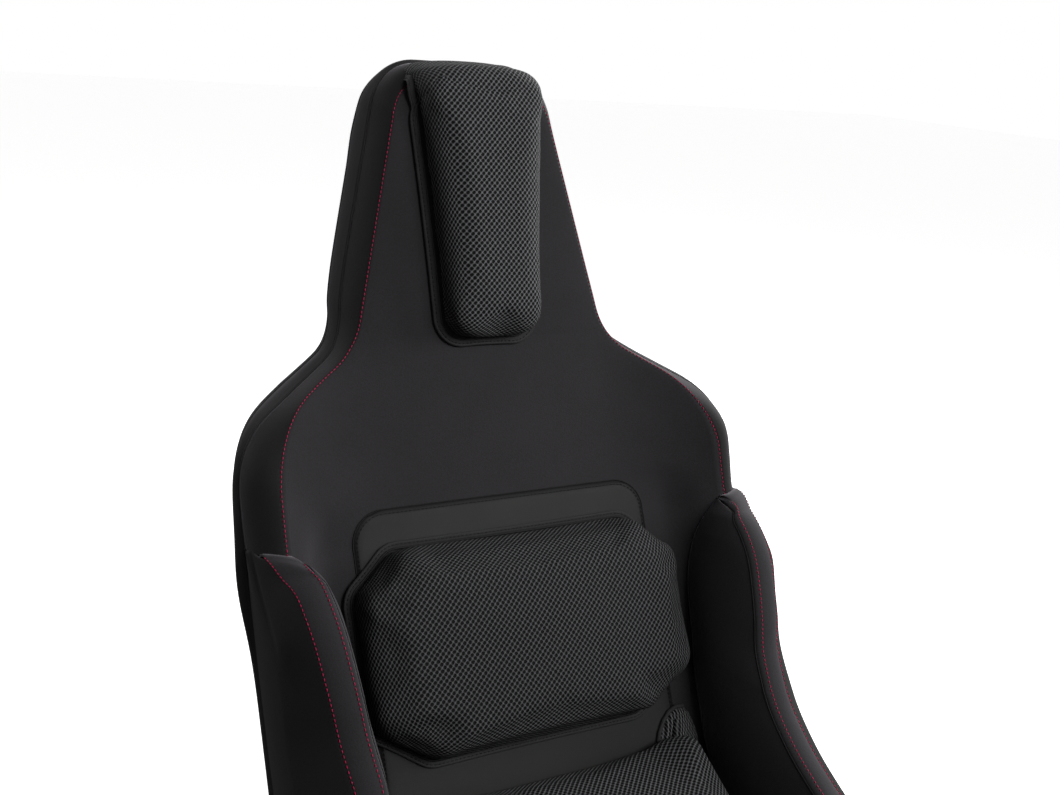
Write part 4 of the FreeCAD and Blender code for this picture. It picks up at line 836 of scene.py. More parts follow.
# Where the outer panel ends at the gusset and along the skirt
BOLSTER_REACH = [(290, 398), (286, 384), (283, 366), (279, 348), (272, 327), (262, 303), (250, 278),
                 (236, 249), (220, 215), (200, 178), (176, 130), (150, 78), (120, SKIRT), (60, SKIRT),
                 (0, SKIRT), (-60, SKIRT), (-110, SKIRT), (-150, SKIRT), (-185, SKIRT), (-212, SKIRT),
                 (-235, SKIRT), (-252, SKIRT), (-264, SKIRT), (-272, SKIRT), (-279, SKIRT)]


def bolster_lines(count):
    """Edge, root and reach of a bolster with matching points, and the edge's inward direction."""
    knots = [np.array(row, float) for row in (BOLSTER_EDGE, BOLSTER_ROOT, BOLSTER_REACH)]
    fine = spline(np.concatenate(knots, axis=1), count)
    edge, root, reach = fine[:, 0:2], fine[:, 2:5], fine[:, 5:7]
    ahead = direction(edge)
    inward = np.stack([-ahead[:, 1], ahead[:, 0]], axis=1)
    if np.mean(inward @ np.array([1.0, -1.0])) < 0:
        inward = -inward
    return edge, root, reach, inward


def bolster_widths(edge):
    """X of the dark seam, the inner stitches and the outer stitches along the edge."""
    rise = np.maximum(edge[:, 1] - 243, 0)
    inner = 221 + rise * 0.135 + 6.7 * smooth_step(edge[:, 0], 200, 252)
    outer = 244.5 + rise * 0.145 + 13 * smooth_step(edge[:, 0], 192, 264)
    return inner - 6.5, inner, outer


def make_bolsters():
    """Both bolsters: inner panel, dark seam, edge band with its two rows of stitches, outer panel."""
    count = 240
    edge, root, reach, inward = bolster_lines(count)
    edge_y, edge_z = edge[:, 0], edge[:, 1]
    seam_x, inner_x, outer_x = bolster_widths(edge)
    tip = smooth_step(edge_y, 196, 250)
    tip_rise = smooth_step(edge_y, 216, 250)

    def at(across, drop):
        """Point of the front edge; the tip's inner side ends ahead of its outer side."""
        spread = np.clip((outer_x - across) / (outer_x - inner_x), 0, 1.15)
        return np.stack([across, edge_y + inward[:, 0] * drop - 22 * tip * spread,
                         edge_z + inward[:, 1] * drop + tip_rise * (9 - 6.5 * spread)], axis=1)

    seam = at(seam_x, 4.5)
    outer_stitch = at(outer_x, BAND_LEAN)

    # Inner panel, padded between the seat and the dark seam
    inner_panel = []
    reach_in = np.linalg.norm(seam - root, axis=1)
    puff = np.minimum(reach_in * 0.10, 8.0)
    swell = np.minimum(reach_in * 0.04, 3.5)
    for step in np.linspace(0, 1, 26):
        point = root * (1 - step) + seam * step
        point[:, 0] -= puff * math.sin(math.pi * step ** 0.9)
        point[:, 1:] -= inward * (swell * math.sin(math.pi * step ** 2.2))[:, None]
        inner_panel.append(point)
    inner_panel = np.stack(inner_panel, axis=1)

    # Narrow strip and band across the front edge
    band = [seam]
    for share, drop in ((0.35, 1.9), (0.7, 0.6), (0.93, 0.35), (1.0, 0.4)):
        band.append(at(seam_x + (inner_x - seam_x) * share, drop))
    for share, bulge in ((0.08, 0.7), (0.3, 2.0), (0.55, 2.5), (0.8, 1.9), (0.94, 0.8)):
        band.append(at(inner_x + (outer_x - inner_x) * share, BAND_LEAN * share - bulge))
    band = np.stack(band + [outer_stitch], axis=1)

    # The band's tip turns down behind on to the back's cover and round its edge roll
    foot = band[0].copy()
    foot[:, 0] += 8.0 * np.linspace(1, 0, len(foot)) ** 2
    past = np.clip((foot[:, 0] - SHOULDER_HALF) / 28.0, 0, 0.95)
    foot[:, 1] = (front_depth(np.minimum(foot[:, 0], SHOULDER_HALF), foot[:, 2])
                  + 38 * (1 - np.sqrt(1 - past ** 2)) + 1.0)
    foot[:, 2] -= 2.0
    foot[0] = root[0]
    cap = [foot + (band[0] - foot) * share + np.array([0, 0, 2.0]) * math.sin(math.pi * share)
           for share in (0.0, 0.25, 0.5, 0.75, 0.93)]
    band = np.concatenate([np.array(cap), band])

    # Outer panel: the roll off the band, then down to the gusset and the skirt
    outer_panel = [outer_stitch]
    full = 0.10 + 0.24 * smooth_step(edge_z, 320, 372)
    for share in (0.07, 0.18, 0.34, 0.52, 0.7, 0.86, 1.0):
        fall = 40 * share ** 1.05
        row = at(outer_x + (SIDE - outer_x) * (share + full * math.sin(math.pi * share)), BAND_LEAN + fall)
        row[:, 1] += tip * fall * 0.8
        row[:, 2] += tip * fall * 0.85
        outer_panel.append(row)
    edge_low = outer_panel[-1]
    low_y = np.where(reach[:, 0] < 0, np.maximum(reach[:, 0], edge_low[:, 1]), reach[:, 0])
    reach_points = np.stack([np.full(count, SIDE), low_y, reach[:, 1]], axis=1)
    for step in np.linspace(0, 1, 18)[1:]:
        point = edge_low * (1 - step) + reach_points * step
        point[:, 0] += 3.0 * math.sin(math.pi * min(step, 0.999)) ** 0.8
        outer_panel.append(point)
    outer_panel = np.stack(outer_panel, axis=1)

    # A small ear at the tip, where the cover is gathered into the side seam
    run = run_along(edge)
    ear = np.exp(-(run / 8.0) ** 2)[:, None] * np.exp(-((np.arange(outer_panel.shape[1]) - 7) / 2.0) ** 2)
    outer_panel += ear[:, :, None] * np.array([0.0, -2.0, 4.0])

    for side, name in ((1, "left"), (-1, "right")):
        mirror = np.array([side, 1.0, 1.0])
        inside = (side * 250, 150, 120)
        sheet_piece("bolster_inner_" + name, inner_panel * mirror, inside, 2.5, "knit", "seat_shell",
                    ("bolster_inner_panel_" + name, "bolster_foam_" + name))
        sheet_piece("bolster_edge_band_" + name, band * mirror, inside, 2.5, "knit", "seat_shell",
                    ("bolster_band_" + name,))
        # The outer panels wear the darker flank knit: painted shade.
        sheet_piece("bolster_outer_" + name, outer_panel * mirror, inside, 2.5, "shaded_flank_knit", "seat_shell",
                    ("bolster_outer_panel_" + name,))

    stitch("bolster_top_stitch", both_sides(at(inner_x, -0.4), at(outer_x, BAND_LEAN - 0.6)), "seat_shell")
    # The dark seam's welt is partly dark thread and partly painted shade in the seam's groove.
    dark = np.concatenate([root[:1] + np.array([[0.0, -1.0, 0.0]]), at(seam_x, 4.6)])
    welt("bolster_seam", both_sides(dark), "seat_shell")


# Base cover, loop panel and dust cloth


def make_base():
    """Front and top of the upholstered base between the bolsters."""
    nose, half = -271.0, 205
    profile = resample(rounded([(160.0, BASE_TOP), (nose, BASE_TOP), (nose, SKIRT)], [26.0], 3.0), 120)
    across = np.linspace(-half, half, 70)
    grid = np.zeros((len(profile), len(across), 3))
    grid[:, :, 0] = across
    grid[:, :, 1:] = profile[:, None, :]
    puff = 2.0 * (1 - (np.abs(across) / half) ** 4)
    grid[:, :, 1] -= puff[None, :] * (1 - smooth_step(profile[:, 1], 60, 92))[:, None]
    sheet_piece("base_front_panel", grid, (0, 0, 40), 2.5, "knit", "seat_shell",
                ("base_cover", "base_foam"))
    hem = np.stack([across, np.full(70, nose - 2.6), np.full(70, SKIRT + 12.0)], axis=1)
    stitch("base_hem_stitch", [hem], "seat_shell")


# The loop panel's front edge, and how far back from it the panel turns up
LOOP_FRONT = -235.0
LOOP_FLAT = CREASE_SETBACK - LOOP_FRONT - 8.0


def loop_surface(across, run, lift):
    """Point on the loop panel: run is measured from its front edge, over the base and up the back."""
    lean = math.radians(LUMBAR_RECLINE)
    rise = np.maximum(run - LOOP_FLAT, 0.0)
    height = BASE_TOP + rise * math.cos(lean)
    on_back = rise > 0
    y = np.where(on_back, front_depth(across, height) - lift / math.cos(lean), LOOP_FRONT + run)
    z = np.where(on_back, height, BASE_TOP + lift)
    near = np.exp(-((run - LOOP_FLAT) / 14.0) ** 2)
    return np.stack([across + 0 * run, y - 4.0 * near, z + 4.5 * near], axis=-1)


def make_loop_panel():
    """Coated loop cloth over the base and up the back, with round top corners."""
    half, corner = 174.0, 34.0
    length = LOOP_FLAT + (UPPER_BEND - BASE_TOP) / math.cos(math.radians(LUMBAR_RECLINE))
    rows, columns = 130, 60
    grid = np.zeros((rows, columns, 3))
    for i, along in enumerate(np.linspace(0, length, rows)):
        left = max(along - (length - corner), 0.0)
        width = half - corner + math.sqrt(max(corner ** 2 - left ** 2, 0.0)) if left > 0 else half
        across = np.linspace(-width, width, columns)
        ease = 1 - np.exp(-np.minimum(width - np.abs(across), length - along + 0.01) / 2.5)
        grid[i] = loop_surface(across, np.full(columns, along), 0.4 + 2.2 * ease)
    panel = sheet_piece("loop_cloth", grid, (0, 500, -200), 1.2, "coated", "seat_shell",
                        ("loop_panel",))

    def border(inset, lift):
        """Line along the panel's edge, up one side and down the other."""
        low, high, side = length - 300, length - inset, half - inset
        path = rounded([(-side, low), (-side, high), (side, high), (side, low)], [corner - inset] * 2, 4.0)
        path = resample(path, 260)
        return loop_surface(path[:, 0], path[:, 1], lift)

    stitch("loop_edge_stitch", [border(3.5, 3.1)], "seat_shell", "dark_thread_and_seam_shade")
    welt("loop_edge_fold", [border(0.0, 0.6)], "seat_shell", 0.0007)


def make_dust_cloth():
    """Cloth that closes the underside between the rails."""
    low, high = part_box("bottom_cloth")
    across = np.linspace(low.x, high.x, 30) / MM
    along = np.linspace(low.y, high.y, 34) / MM
    grid = np.zeros((len(along), len(across), 3))
    grid[:, :, 0] = across
    grid[:, :, 1] = along[:, None]
    mid_x = 1 - (across / across.max()) ** 2
    mid_y = 1 - ((along - along.mean()) / (along.max() - along.mean())) ** 2
    grid[:, :, 2] = low.z / MM - 1.2 * mid_y[:, None] * mid_x[None, :]
    cloth = sheet_piece("dust_cloth", grid, (0, 0, 60), 0.8, "backing", "seat_shell",
                        ("bottom_cloth",))


# Loose pads

# A pad's cover is held below this height while it swells, over this many frames
HELD_BELOW = 6.0
SWELL_FRAMES = 20
# How far below the head pad's top end the hood starts inside the pad, and where it meets its sides
HOOD_TUCK = 46
HOOD_MEETS = 26


class PadPlace:
    """A pad's own frame: across, up along the surface, and out of it."""

    def __init__(self, origin, recline, flat=False):
        lean = math.radians(recline)
        self.origin = np.array(origin, float)
        self.across = np.array([1.0, 0.0, 0.0])
        self.up = np.array([0.0, math.sin(lean), math.cos(lean)])
        self.out = np.array([0.0, -math.cos(lean), math.sin(lean)])
        if flat:
            self.up = np.array([0.0, 1.0, 0.0])
            self.out = np.array([0.0, 0.0, 1.0])

    def world(self, across, up, out):
        return (self.origin + np.asarray(across)[..., None] * self.across
                + np.asarray(up)[..., None] * self.up + np.asarray(out)[..., None] * self.out)

    def local(self, points):
        rel = points - self.origin
        return rel @ self.across, rel @ self.up, rel @ self.out


def ring_of(corners, radius, count, draw):
    """Closed outline with round corners whose sides pull in a little between them."""
    corners = [np.array(c, float) for c in corners]
    middle = sum(corners) / len(corners)
    line = []
    for before, corner, after in zip(corners[-1:] + corners, corners, corners[1:] + corners[:1]):
        room = 0.45 * min(np.linalg.norm(before - corner), np.linalg.norm(after - corner))
        bend = Corner(before, corner, after, radius, room)
        line += [bend.at(step) for step in np.linspace(0, 1, 14)]
        end = corner + bend.onward * bend.reach
        next_start = after - bend.onward * min(bend.reach, 0.45 * np.linalg.norm(after - corner))
        span = np.linalg.norm(next_start - end)
        inward = middle - (end + next_start) / 2
        inward /= np.linalg.norm(inward)
        for step in np.linspace(0, 1, 12)[1:-1]:
            pull = draw * min(span / 80, 1) * 4 * step * (1 - step)
            line.append(end + (next_start - end) * step + inward * pull)
    line.append(line[0])
    return resample(np.array(line), count + 1)[:-1]


def pad_shell(name, place, corners_at, radius, thickness, crown, dome, full):
    """Closed pad: a flat base, full sides that turn over by a crown and a domed face."""
    count = 176
    rows = []
    for turn in np.radians((0, 6, 14, 24, 34, 45, 56, 66, 75, 83, 90)):
        rise = math.sin(turn) ** full * thickness
        draw = crown * (1 - math.cos(turn) ** full)
        swell = 1.5 * math.sin(2 * turn)
        ring = ring_of(corners_at(-swell, draw, rise), radius + draw, count, 2.0)
        rows.append(place.world(ring[:, 0], ring[:, 1], np.full(count, rise)))
    middle = ring.mean(axis=0)
    for share in (0.93, 0.8, 0.65, 0.5, 0.32, 0.16):
        inner = middle + (ring - middle) * share
        out = np.full(count, thickness + dome * (1 - share ** 2))
        rows.append(place.world(inner[:, 0], inner[:, 1], out))
    points = np.concatenate(rows + [[place.world(middle[0], middle[1], thickness + dome)],
                                    [rows[0].mean(axis=0)]])
    tip, base = len(points) - 2, len(points) - 1
    faces = grid_faces(len(rows), count, closed=True)
    faces += [(tip - count + j, tip - count + (j + 1) % count, tip) for j in range(count)]
    faces += [((j + 1) % count, j, base) for j in range(count)]
    return new_piece(name, points, faces)


def swell_pad(piece, place):
    """Remeshes a pad, swells its cover by cloth simulation and caps how far it moved."""
    sizes = bpy.context.scene.seat_sizes
    remesh = piece.modifiers.new("remesh", "REMESH")
    remesh.mode = "VOXEL"
    remesh.voxel_size = 0.005
    flat_mesh(piece)
    rest = points_of(piece)
    group = piece.vertex_groups.new(name="held")
    group.add([int(k) for k in np.nonzero(place.local(rest)[2] < HELD_BELOW)[0]], 1.0, "REPLACE")
    cloth = piece.modifiers.new("cover", "CLOTH")
    cloth.settings.vertex_group_mass = "held"
    cloth.settings.use_pressure = True
    cloth.settings.uniform_pressure_force = sizes.pad_pressure
    cloth.settings.tension_stiffness = 30.0
    cloth.settings.compression_stiffness = 30.0
    cloth.settings.bending_stiffness = 1.5
    cloth.settings.effector_weights.gravity = 0.0
    cloth.point_cache.frame_start = 1
    cloth.point_cache.frame_end = SWELL_FRAMES
    scene = bpy.context.scene
    for number in range(1, SWELL_FRAMES + 1):
        scene.frame_set(number)
        bpy.context.view_layer.update()
    step = points_of(piece.evaluated_get(bpy.context.evaluated_depsgraph_get())) - rest
    piece.modifiers.clear()
    piece.vertex_groups.clear()
    scene.frame_set(1)
    far = np.linalg.norm(step, axis=1)
    share = np.minimum(1.0, sizes.pad_swell / MM / np.maximum(far, 1e-6))
    move_points(piece, rest + step * share[:, None])
    relax = piece.modifiers.new("relax", "SMOOTH")
    relax.iterations = 9
    relax.factor = 0.5
    fine = piece.modifiers.new("fine", "SUBSURF")
    fine.levels = 1
    fine.render_levels = 1
    flat_mesh(piece)
    piece.data.shade_smooth()


def unroll(piece, place, half_length, half_width, thickness):
    """Lays the cloth's own coordinates over a pad: straight on its face and on down its sides."""
    across, up, out = place.local(points_of(piece))
    up = up - half_length
    side = (np.abs(across) / half_width) ** 8
    end = (np.abs(up) / half_length) ** 8
    to_side = side / (side + end + 1e-9)
    fall = np.maximum(thickness - out, 0)
    set_cloth_layer(piece.data, np.stack([across + np.sign(across) * fall * to_side,
                                          up + np.sign(up) * fall * (1 - to_side)], axis=1))


def make_pad(name, body, cloth, place, corners_at, form, unrolled):
    """A pad of mesh cloth: form is what pad_shell takes, unrolled is what unroll takes."""
    pad = pad_shell(name, place, corners_at, *form)
    swell_pad(pad, place)
    unroll(pad, place, *unrolled)
    finish_piece(pad, cloth, body, (body + "_foam", body + "_cover"))
    return pad


def make_flange(name, body, place, corners_at, radius, width, lift, thickness):
    """Flat sewn flange round a pad, with a round bound edge."""
    count = 200
    rows = []
    for out, rise in ((-6.0, 0.0), (-6.0, thickness), (width - 2.2, thickness),
                      (width - 0.9, thickness * 1.25), (width + 0.3, thickness * 1.1),
                      (width + 0.9, thickness * 0.55), (width + 0.4, 0.05), (width - 2.0, 0.0)):
        ring = ring_of(corners_at(-out, 0, 0), radius + max(out, 0), count, 1.0)
        rows.append(place.world(ring[:, 0], ring[:, 1], np.full(count, lift + rise)))
    rows.append(rows[0])
    piece = new_piece(name, np.concatenate(rows), grid_faces(len(rows), count, closed=True))
    edit(piece.data, even_normals)
    finish_piece(piece, "binding", body, (body + "_backing",))


def ring_line(place, corners_at, radius, out, lift):
    ring = ring_of(corners_at(-out, 0, 0), radius + max(out, 0), 220, 1.0)
    ring = np.concatenate([ring, ring[:1]])
    return place.world(ring[:, 0], ring[:, 1], np.full(len(ring), lift))


def make_head_pad():
    """Head pad with its flange, and the hood that holds it on the seat's head."""
    low = NECK - 4.0
    length = (HEAD_TOP - 7.0 - low) / math.cos(math.radians(HEAD_RECLINE))
    place = PadPlace((0.0, float(back_line(low)) - 0.6, low), HEAD_RECLINE)
    bottom, top, foot = 50.0, 68.5, 8.0

    def corners(inset, turn, depth):
        side = inset + turn
        low_edge = foot + inset + 3.0 * turn
        high = length - 3 - side - 1.6 * turn
        return [(-bottom + side, low_edge), (bottom - side, low_edge),
                (top - side, high), (-top + side, high)]

    def rim(inset, turn, depth):
        return corners(inset, turn, depth)[:2] + [(top - inset, length - 20), (-top + inset, length - 20)]

    def below_hood(out, lift):
        """The pad's outline, open where the hood leaves the pad."""
        ring = ring_line(place, rim, 22.0, out, lift)
        hooded = place.local(ring)[1] >= length - HOOD_MEETS
        first = int(np.nonzero(hooded)[0].max()) + 1
        ring = np.concatenate([ring[first:], ring[1:first]])
        return ring[place.local(ring)[1] < length - HOOD_MEETS]

    make_pad("head_cushion", "head_pad", "mesh", place, corners, (22.0, HEAD_PAD_DEPTH, 8.0, 1.5, 0.55),
             (length / 2, 60.0, HEAD_PAD_DEPTH))
    make_flange("head_cushion_flange", "head_pad", place, rim, 22.0, 9.5, 1.0, 2.2)
    welt("head_cushion_seam", [below_hood(2.0, 3.3)], "head_pad", 0.001)
    stitch("head_flange_stitch", [below_hood(7.0, 3.5)], "head_pad", "dark_thread_and_seam_shade")
    make_hood(place, length, top)


def make_hood(place, length, half):
    """Mesh tongue from the pad's face over the head and down its rear, bound along its edges."""
    top_y = float(back_line(HEAD_TOP))
    inside = (0, top_y + 20, HEAD_TOP - 60)

    def on_pad(up, out):
        return tuple(place.world(0.0, up, out)[1:])

    # Its middle line as Y and Z, then its side line as X, Y and Z
    middle = [on_pad(length - HOOD_TUCK, HEAD_PAD_DEPTH - 6.0), on_pad(length - 25, HEAD_PAD_DEPTH + 0.6),
              on_pad(length - 9, HEAD_PAD_DEPTH - 1.5), on_pad(length + 2, HEAD_PAD_DEPTH - 11.0),
              (top_y - 6, HEAD_TOP + 3.6), (top_y + 14, HEAD_TOP + 4.6), (top_y + 38, HEAD_TOP + 2.0),
              (top_y + 54, HEAD_TOP - 9), (top_y + 59, HEAD_TOP - 28), (top_y + 55.5, HEAD_TOP - 52),
              (top_y + 51, HEAD_TOP - 72)]
    side = [(half - 6.0,) + on_pad(length - HOOD_TUCK, 2.0), (half - 0.2,) + on_pad(length - 25, 2.0),
            (half + 0.8,) + on_pad(length - 13, 1.0), (half + 1.6,) + on_pad(length - 5, -2.5),
            (half + 3.0, top_y + 6, HEAD_TOP - 12.5), (half + 4.0, top_y + 20, HEAD_TOP - 12.0),
            (half + 4.0, top_y + 38, HEAD_TOP - 13.0), (half + 3.5, top_y + 52, HEAD_TOP - 21),
            (half + 2.0, top_y + 58, HEAD_TOP - 34), (half, top_y + 55.5, HEAD_TOP - 54),
            (half - 2.0, top_y + 51, HEAD_TOP - 72)]
    line = spline([p + q for p, q in zip(middle, side)], 96)
    run = run_along(line[:, :2])

    # Each row is an arch that is nearly square on the pad and round over the head
    turns = np.radians(np.linspace(-90, 90, 57))
    power = 2 / (5.2 - 2.9 * smooth_step(run, 14, 54))[:, None]
    across = np.sign(turns) * np.abs(np.sin(turns)) ** power * line[:, 2:3]
    rise = np.abs(np.cos(turns)) ** power
    rise[:, 0] = rise[:, -1] = 0.0
    grid = np.stack([across, line[:, 3:4] + (line[:, 0:1] - line[:, 3:4]) * rise,
                     line[:, 4:5] + (line[:, 1:2] - line[:, 4:5]) * rise], axis=2)
    hood = sheet_piece("head_hood", grid, inside, 2.5, "mesh", "head_pad", ("head_pad_hood",))
    steps = np.linalg.norm(np.diff(grid, axis=1), axis=2)
    sideways = np.concatenate([np.zeros((len(line), 1)), np.cumsum(steps, axis=1)], axis=1)
    sideways -= sideways[:, len(turns) // 2][:, None]
    lay_cloth(hood, grid, np.stack([sideways, 0 * sideways + run[:, None] + length / 2 - HOOD_TUCK], axis=2))

    # Its bound edges start low beside the pad and lie flatter over the head's top
    start = [(half - 1.5 - 0.068 * k,) + on_pad(length - 25 - k, 1.9) for k in (50, 40, 30, 20, 10)]
    edge = np.concatenate([np.array(start), line[run > 22, 2:5]])
    ahead = direction(edge[:, 1:])
    upward = np.abs(ahead[:, 0])
    for name, mirror in (("right", 1.0), ("left", -1.0)):
        rows = []
        for out, lift in ((-2.0, 0.8), (2.0, 1.6), (5.5, 1.6), (8.0, 0.9)):
            row = edge.copy()
            row[:, 0] += out * (1 - 0.5 * upward)
            row[:, 2] -= 0.8 * upward * max(out, 0.0)
            row[:, 1] -= ahead[:, 1] * lift
            row[:, 2] += ahead[:, 0] * lift
            row[:, 0] *= mirror
            rows.append(row)
        sheet_piece("hood_tape_" + name, np.stack(rows, axis=1), inside, 1.6, "binding", "head_pad")
        welt("hood_edge_" + name, [rows[-1]], "head_pad", 0.0012, "binding")


def make_lumbar_pad():
    """Eight-cornered lumbar pad with its flange."""
    low, half = 185.0, 185.0
    length = (374.0 - low) / math.cos(math.radians(LUMBAR_RECLINE))
    place = PadPlace((0.0, float(back_line(low)) - 3.2, low), LUMBAR_RECLINE)

    def corners(inset, turn, depth):
        ease = 0.35 * (inset + turn)
        side = half - inset - 0.32 * turn
        low_edge = inset + 0.45 * turn
        high = length - inset - turn
        foot_x = half - 62.0 - ease
        top_x = half - 45.0 - ease
        rise = 40.0 + ease
        return [(-foot_x, low_edge), (foot_x, low_edge), (side, rise), (side, length - rise),
                (top_x, high), (-top_x, high), (-side, length - rise), (-side, rise)]

    # The lumbar pad wears the darker copy of the mesh: painted shade.
    make_pad("lumbar_cushion", "lumbar_pad", "shaded_lumbar_mesh", place, corners, (24.0, 47.0, 27.0, 6.0, 0.6),
             (length / 2, half, 52.0))
    make_flange("lumbar_cushion_flange", "lumbar_pad", place, corners, 24.0, 8.0, 1.0, 2.2)
    welt("lumbar_cushion_seam", [ring_line(place, corners, 24.0, 1.5, 3.4)], "lumbar_pad", 0.0012)
    stitch("lumbar_flange_stitch", [ring_line(place, corners, 24.0, 5.6, 3.5)], "lumbar_pad", "dark_thread_and_seam_shade")


def make_base_cushion():
    """Base cushion, its rear corner at +X lifted, and the corner that is turned up behind it."""
    front, back_half, front_half = -238.0, 170.0, 164.0
    length = CREASE_SETBACK - front - 7.5
    place = PadPlace((0.0, front, BASE_TOP + 2.6), 0.0, flat=True)

    def corners(inset, turn, depth):
        draw = inset + turn
        rear = length - 0.5 * inset + 0.05 * turn + depth * slope(30.0)
        return [(-front_half + draw, draw), (front_half - draw, draw),
                (back_half - 0.7 * draw, rear), (-back_half + 0.7 * draw, rear)]

    pad = make_pad("seat_cushion", "base_cushion", "mesh", place, corners, (26.0, 55.0, 20.0, 4.0, 0.55),
                   (length / 2, back_half, 58.0))
    spots = points_of(pad)
    upper = smooth_step(spots[:, 2], 100, 140)
    corner = smooth_step(spots[:, 0], 112, 176) * smooth_step(spots[:, 1], 30, 150) * upper
    spots[:, 2] += 23.0 * corner + 4.0 * smooth_step(spots[:, 1], 40, 165) * upper
    spots[:, 0] += 11.0 * corner
    move_points(pad, spots)
    make_flange("seat_cushion_base", "base_cushion", place, corners, 26.0, 1.6, 0.8, 2.0)
    welt("seat_cushion_seam", [ring_line(place, corners, 26.0, 2.2, 4.2)], "base_cushion", 0.0014)
    make_corner_flap()


def make_corner_flap():
    """The base cushion's rear corner at +X, turned up against the back with one fold in it."""
    near, far, low = 145.0, 196.0, 141
    across = np.linspace(near, far, 64)
    crest = np.interp(across, [near, 149, 156, 165, 175, 183, 189, 193, far],
                      [150, 160, 170, 177.5, 181, 180.5, 176, 168, 158])
    share = np.linspace(0, 1, 26)[None, :]
    height = low + (crest[:, None] - low) * share
    width = np.sin(np.pi * (across - near) / (far - near + 0.01))[:, None] ** 0.6
    out = 3.0 + (5 + 12 * width) * np.sqrt(np.maximum(1 - share ** 3.5, 0))
    fold = np.exp(-((across[:, None] - 157 - (height - 153) * 0.58) / 2.4) ** 2)
    out -= 9.0 * fold * smooth_step(height, 148, 156) * (1 - smooth_step(height, 169, 175))
    grid = np.stack([across[:, None] + 0 * height, back_line(height) - out, height], axis=2)
    flap = sheet_piece("seat_cushion_corner", grid, (175, 260, 150), 2.0, "mesh", "base_cushion")
    lay_cloth(flap, grid, grid[:, :, [0, 2]] * np.array([1.75, 0.95]))
    crown = np.stack([across, back_line(crest) - 5.0, crest], axis=1)[:50]
    welt("seat_corner_binding", [crown], "base_cushion", 0.0026, "binding")


# Carried frame parts

FRAME_FINISHES = {
    "painted_steel": "paint", "bright_steel": "zinc", "webbing": "backing", "foam": "foam",
    "hook_patch": "backing", "backing_cloth": "backing", "seat_fabric": "knit", "side_fabric": "side_knit",
    "spacer_mesh": "backing", "loop_panel": "coated",
}


def paint_frame():
    for part in frame["record"]["subparts"]:
        node = frame["nodes"][part["node"]]
        node.data.materials.clear()
        node.data.materials.append(finishes[FRAME_FINISHES[part["material_slot"]]])


# Studio


def make_floor():
    """Pale floor, seen white by the camera, that keeps the seat's shadow."""
    floor = bpy.data.meshes.new("studio_floor")
    reach = 14.0
    floor.from_pydata([(-reach, -reach, 0), (reach, -reach, 0), (reach, reach, 0), (-reach, reach, 0)], [],
                      [(0, 1, 2, 3)])
    ground = bpy.data.objects.new("studio_floor", floor)
    bpy.context.scene.collection.objects.link(ground)
    finish = Finish("studio_floor")
    ray = finish.add("ShaderNodeLightPath", output="Is Camera Ray")
    pale = finish.blend(ray, (0.06, 0.06, 0.06, 1.0), (0.82, 0.82, 0.82, 1.0))
    finish.set(Base_Color=pale, Roughness=0.95, Specular_IOR_Level=0.1,
               Emission_Color=(1.0, 1.0, 1.0, 1.0), Emission_Strength=ray * 0.93)
    floor.materials.append(finish.material)


def make_world():
    """White where the camera, a reflection or glass looks at it, and faint as a light."""
    world = bpy.data.worlds.new("studio")
    bpy.context.scene.world = world
    world.use_nodes = True
    background = world.node_tree.nodes["Background"]
    background.inputs["Color"].default_value = (1.0, 1.0, 1.0, 1.0)
    wire(world.node_tree,
         {"path": ("ShaderNodeLightPath", {}, {}),
          "seen": ("ShaderNodeMath", {"operation": "MAXIMUM"}, {}),
          "through": ("ShaderNodeMath", {"operation": "MAXIMUM"}, {}),
          "strength": ("ShaderNodeMapRange", {}, {"To Min": 0.015, "To Max": 1.0})},
         (("path", "Is Camera Ray", "seen", 0), ("path", "Is Glossy Ray", "seen", 1),
          ("seen", 0, "through", 0), ("path", "Is Transmission Ray", "through", 1),
          ("through", 0, "strength", "Value"), ("strength", "Result", "background", "Strength")),
         {"background": background})


def make_lights():
    """Soft square lamps, each as name, place, power and size, that look at the seat's middle."""
    aim = Vector((0, 0.2, 0.5))
    for name, spot, power, size in (("front_light", (0.45, -2.4, 2.2), 52.0, 1.0),
                                    ("key_light", (1.35, -2.1, 2.0), 44.0, 1.1),
                                    ("right_light", (2.4, -0.6, 1.3), 33.0, 1.2),
                                    ("rim_light", (2.0, 1.2, 1.4), 45.0, 1.2),
                                    ("rear_light", (-1.2, 2.2, 1.5), 14.0, 1.0)):
        lamp = bpy.data.lights.new(name, "AREA")
        lamp.energy = power
        lamp.size = size
        holder = bpy.data.objects.new(name, lamp)
        holder.location = spot
        holder.rotation_mode = "QUATERNION"
        holder.rotation_quaternion = (aim - Vector(spot)).to_track_quat("-Z", "Y")
        bpy.context.scene.collection.objects.link(holder)


def make_camera():
    """Camera at the photograph's place, turned by its own right, up and forward directions."""
    scene = bpy.context.scene
    lens = bpy.data.cameras.new("photo_camera")
    lens.sensor_fit = "HORIZONTAL"
    lens.sensor_width = 36.0
    lens.lens = 42.853
    camera = bpy.data.objects.new("photo_camera", lens)
    right = Vector((0.8660254, -0.49384417, 0.07821723))
    up = Vector((0.07425874, 0.28173596, 0.95661408))
    ahead = Vector((0.49445489, 0.82264378, -0.28066274))
    turn = Matrix((right, up, -ahead)).transposed()
    camera.matrix_world = Matrix.Translation((-0.62948, -0.78016, 0.88755)) @ turn.to_4x4()
    scene.collection.objects.link(camera)
    scene.camera = camera


def make_studio():
    bpy.context.scene.view_settings.view_transform = "Standard"
    make_floor()
    make_world()
    make_lights()
    make_camera()


# Operators and panel


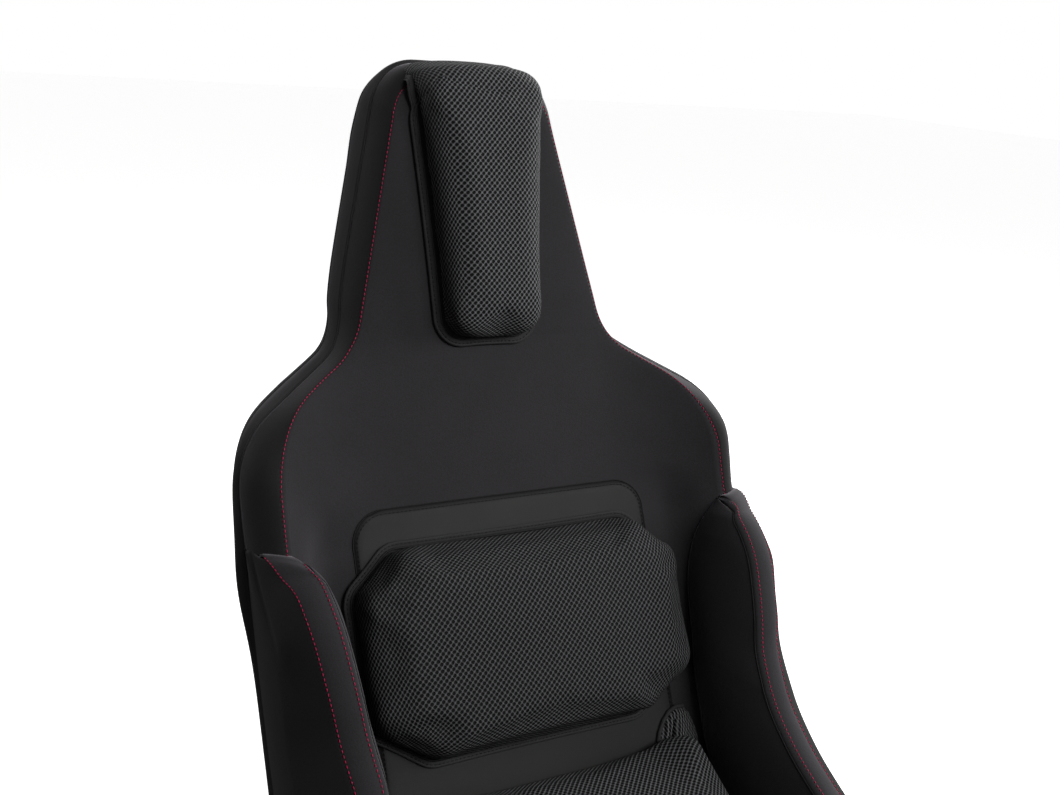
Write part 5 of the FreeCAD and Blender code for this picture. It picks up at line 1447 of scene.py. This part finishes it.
class SEAT_OT_studio(bpy.types.Operator):
    """Make the floor, the lights, the camera and all finishes"""

    bl_idname = "seat.studio"
    bl_label = "Studio and finishes"

    def execute(self, context):
        make_finishes(context.scene.seat_colours, context.scene.seat_sizes)
        make_studio()
        paint_frame()
        return {"FINISHED"}


class SEAT_OT_back(bpy.types.Operator):
    """Sew the back: front panel, edge panels, gussets and rear panel"""

    bl_idname = "seat.back"
    bl_label = "Back covers"

    def execute(self, context):
        make_back()
        return {"FINISHED"}


class SEAT_OT_bolsters(bpy.types.Operator):
    """Sew the two side bolsters with their bands"""

    bl_idname = "seat.bolsters"
    bl_label = "Bolsters"

    def execute(self, context):
        make_bolsters()
        return {"FINISHED"}


class SEAT_OT_base(bpy.types.Operator):
    """Cover the base and close its underside"""

    bl_idname = "seat.base"
    bl_label = "Base covers"

    def execute(self, context):
        make_base()
        make_loop_panel()
        make_dust_cloth()
        return {"FINISHED"}


class SEAT_OT_head_pad(bpy.types.Operator):
    """Make the head pad with its hood"""

    bl_idname = "seat.head_pad"
    bl_label = "Head pad"

    def execute(self, context):
        make_head_pad()
        return {"FINISHED"}


class SEAT_OT_lumbar_pad(bpy.types.Operator):
    """Make the lumbar pad"""

    bl_idname = "seat.lumbar_pad"
    bl_label = "Lumbar pad"

    def execute(self, context):
        make_lumbar_pad()
        return {"FINISHED"}


class SEAT_OT_base_cushion(bpy.types.Operator):
    """Make the base cushion"""

    bl_idname = "seat.base_cushion"
    bl_label = "Base cushion"

    def execute(self, context):
        make_base_cushion()
        return {"FINISHED"}


OPERATORS = (SEAT_OT_studio, SEAT_OT_back, SEAT_OT_bolsters, SEAT_OT_base, SEAT_OT_head_pad,
             SEAT_OT_lumbar_pad, SEAT_OT_base_cushion)


class SEAT_PT_panel(bpy.types.Panel):
    """Buttons and sizes of the racing seat"""

    bl_idname = "SEAT_PT_panel"
    bl_label = "Racing Seat"
    bl_space_type = "VIEW_3D"
    bl_region_type = "UI"
    bl_category = "Racing Seat"

    def draw(self, context):
        for operator in OPERATORS:
            self.layout.operator(operator.bl_idname)
        for group in (context.scene.seat_sizes, context.scene.seat_colours):
            for name in group.__annotations__:
                self.layout.prop(group, name)


CLASSES = (SeatSizes, SeatColours) + OPERATORS + (SEAT_PT_panel,)


def register():
    for item in CLASSES:
        bpy.utils.register_class(item)
    bpy.types.Scene.seat_sizes = bpy.props.PointerProperty(type=SeatSizes)
    bpy.types.Scene.seat_colours = bpy.props.PointerProperty(type=SeatColours)


def unregister():
    del bpy.types.Scene.seat_sizes
    del bpy.types.Scene.seat_colours
    for item in reversed(CLASSES):
        bpy.utils.unregister_class(item)


def main():
    register()
    for step in ("studio", "back", "bolsters", "base", "head_pad", "lumbar_pad", "base_cushion"):
        getattr(bpy.ops.seat, step)()


if __name__ == "__main__":
    main()
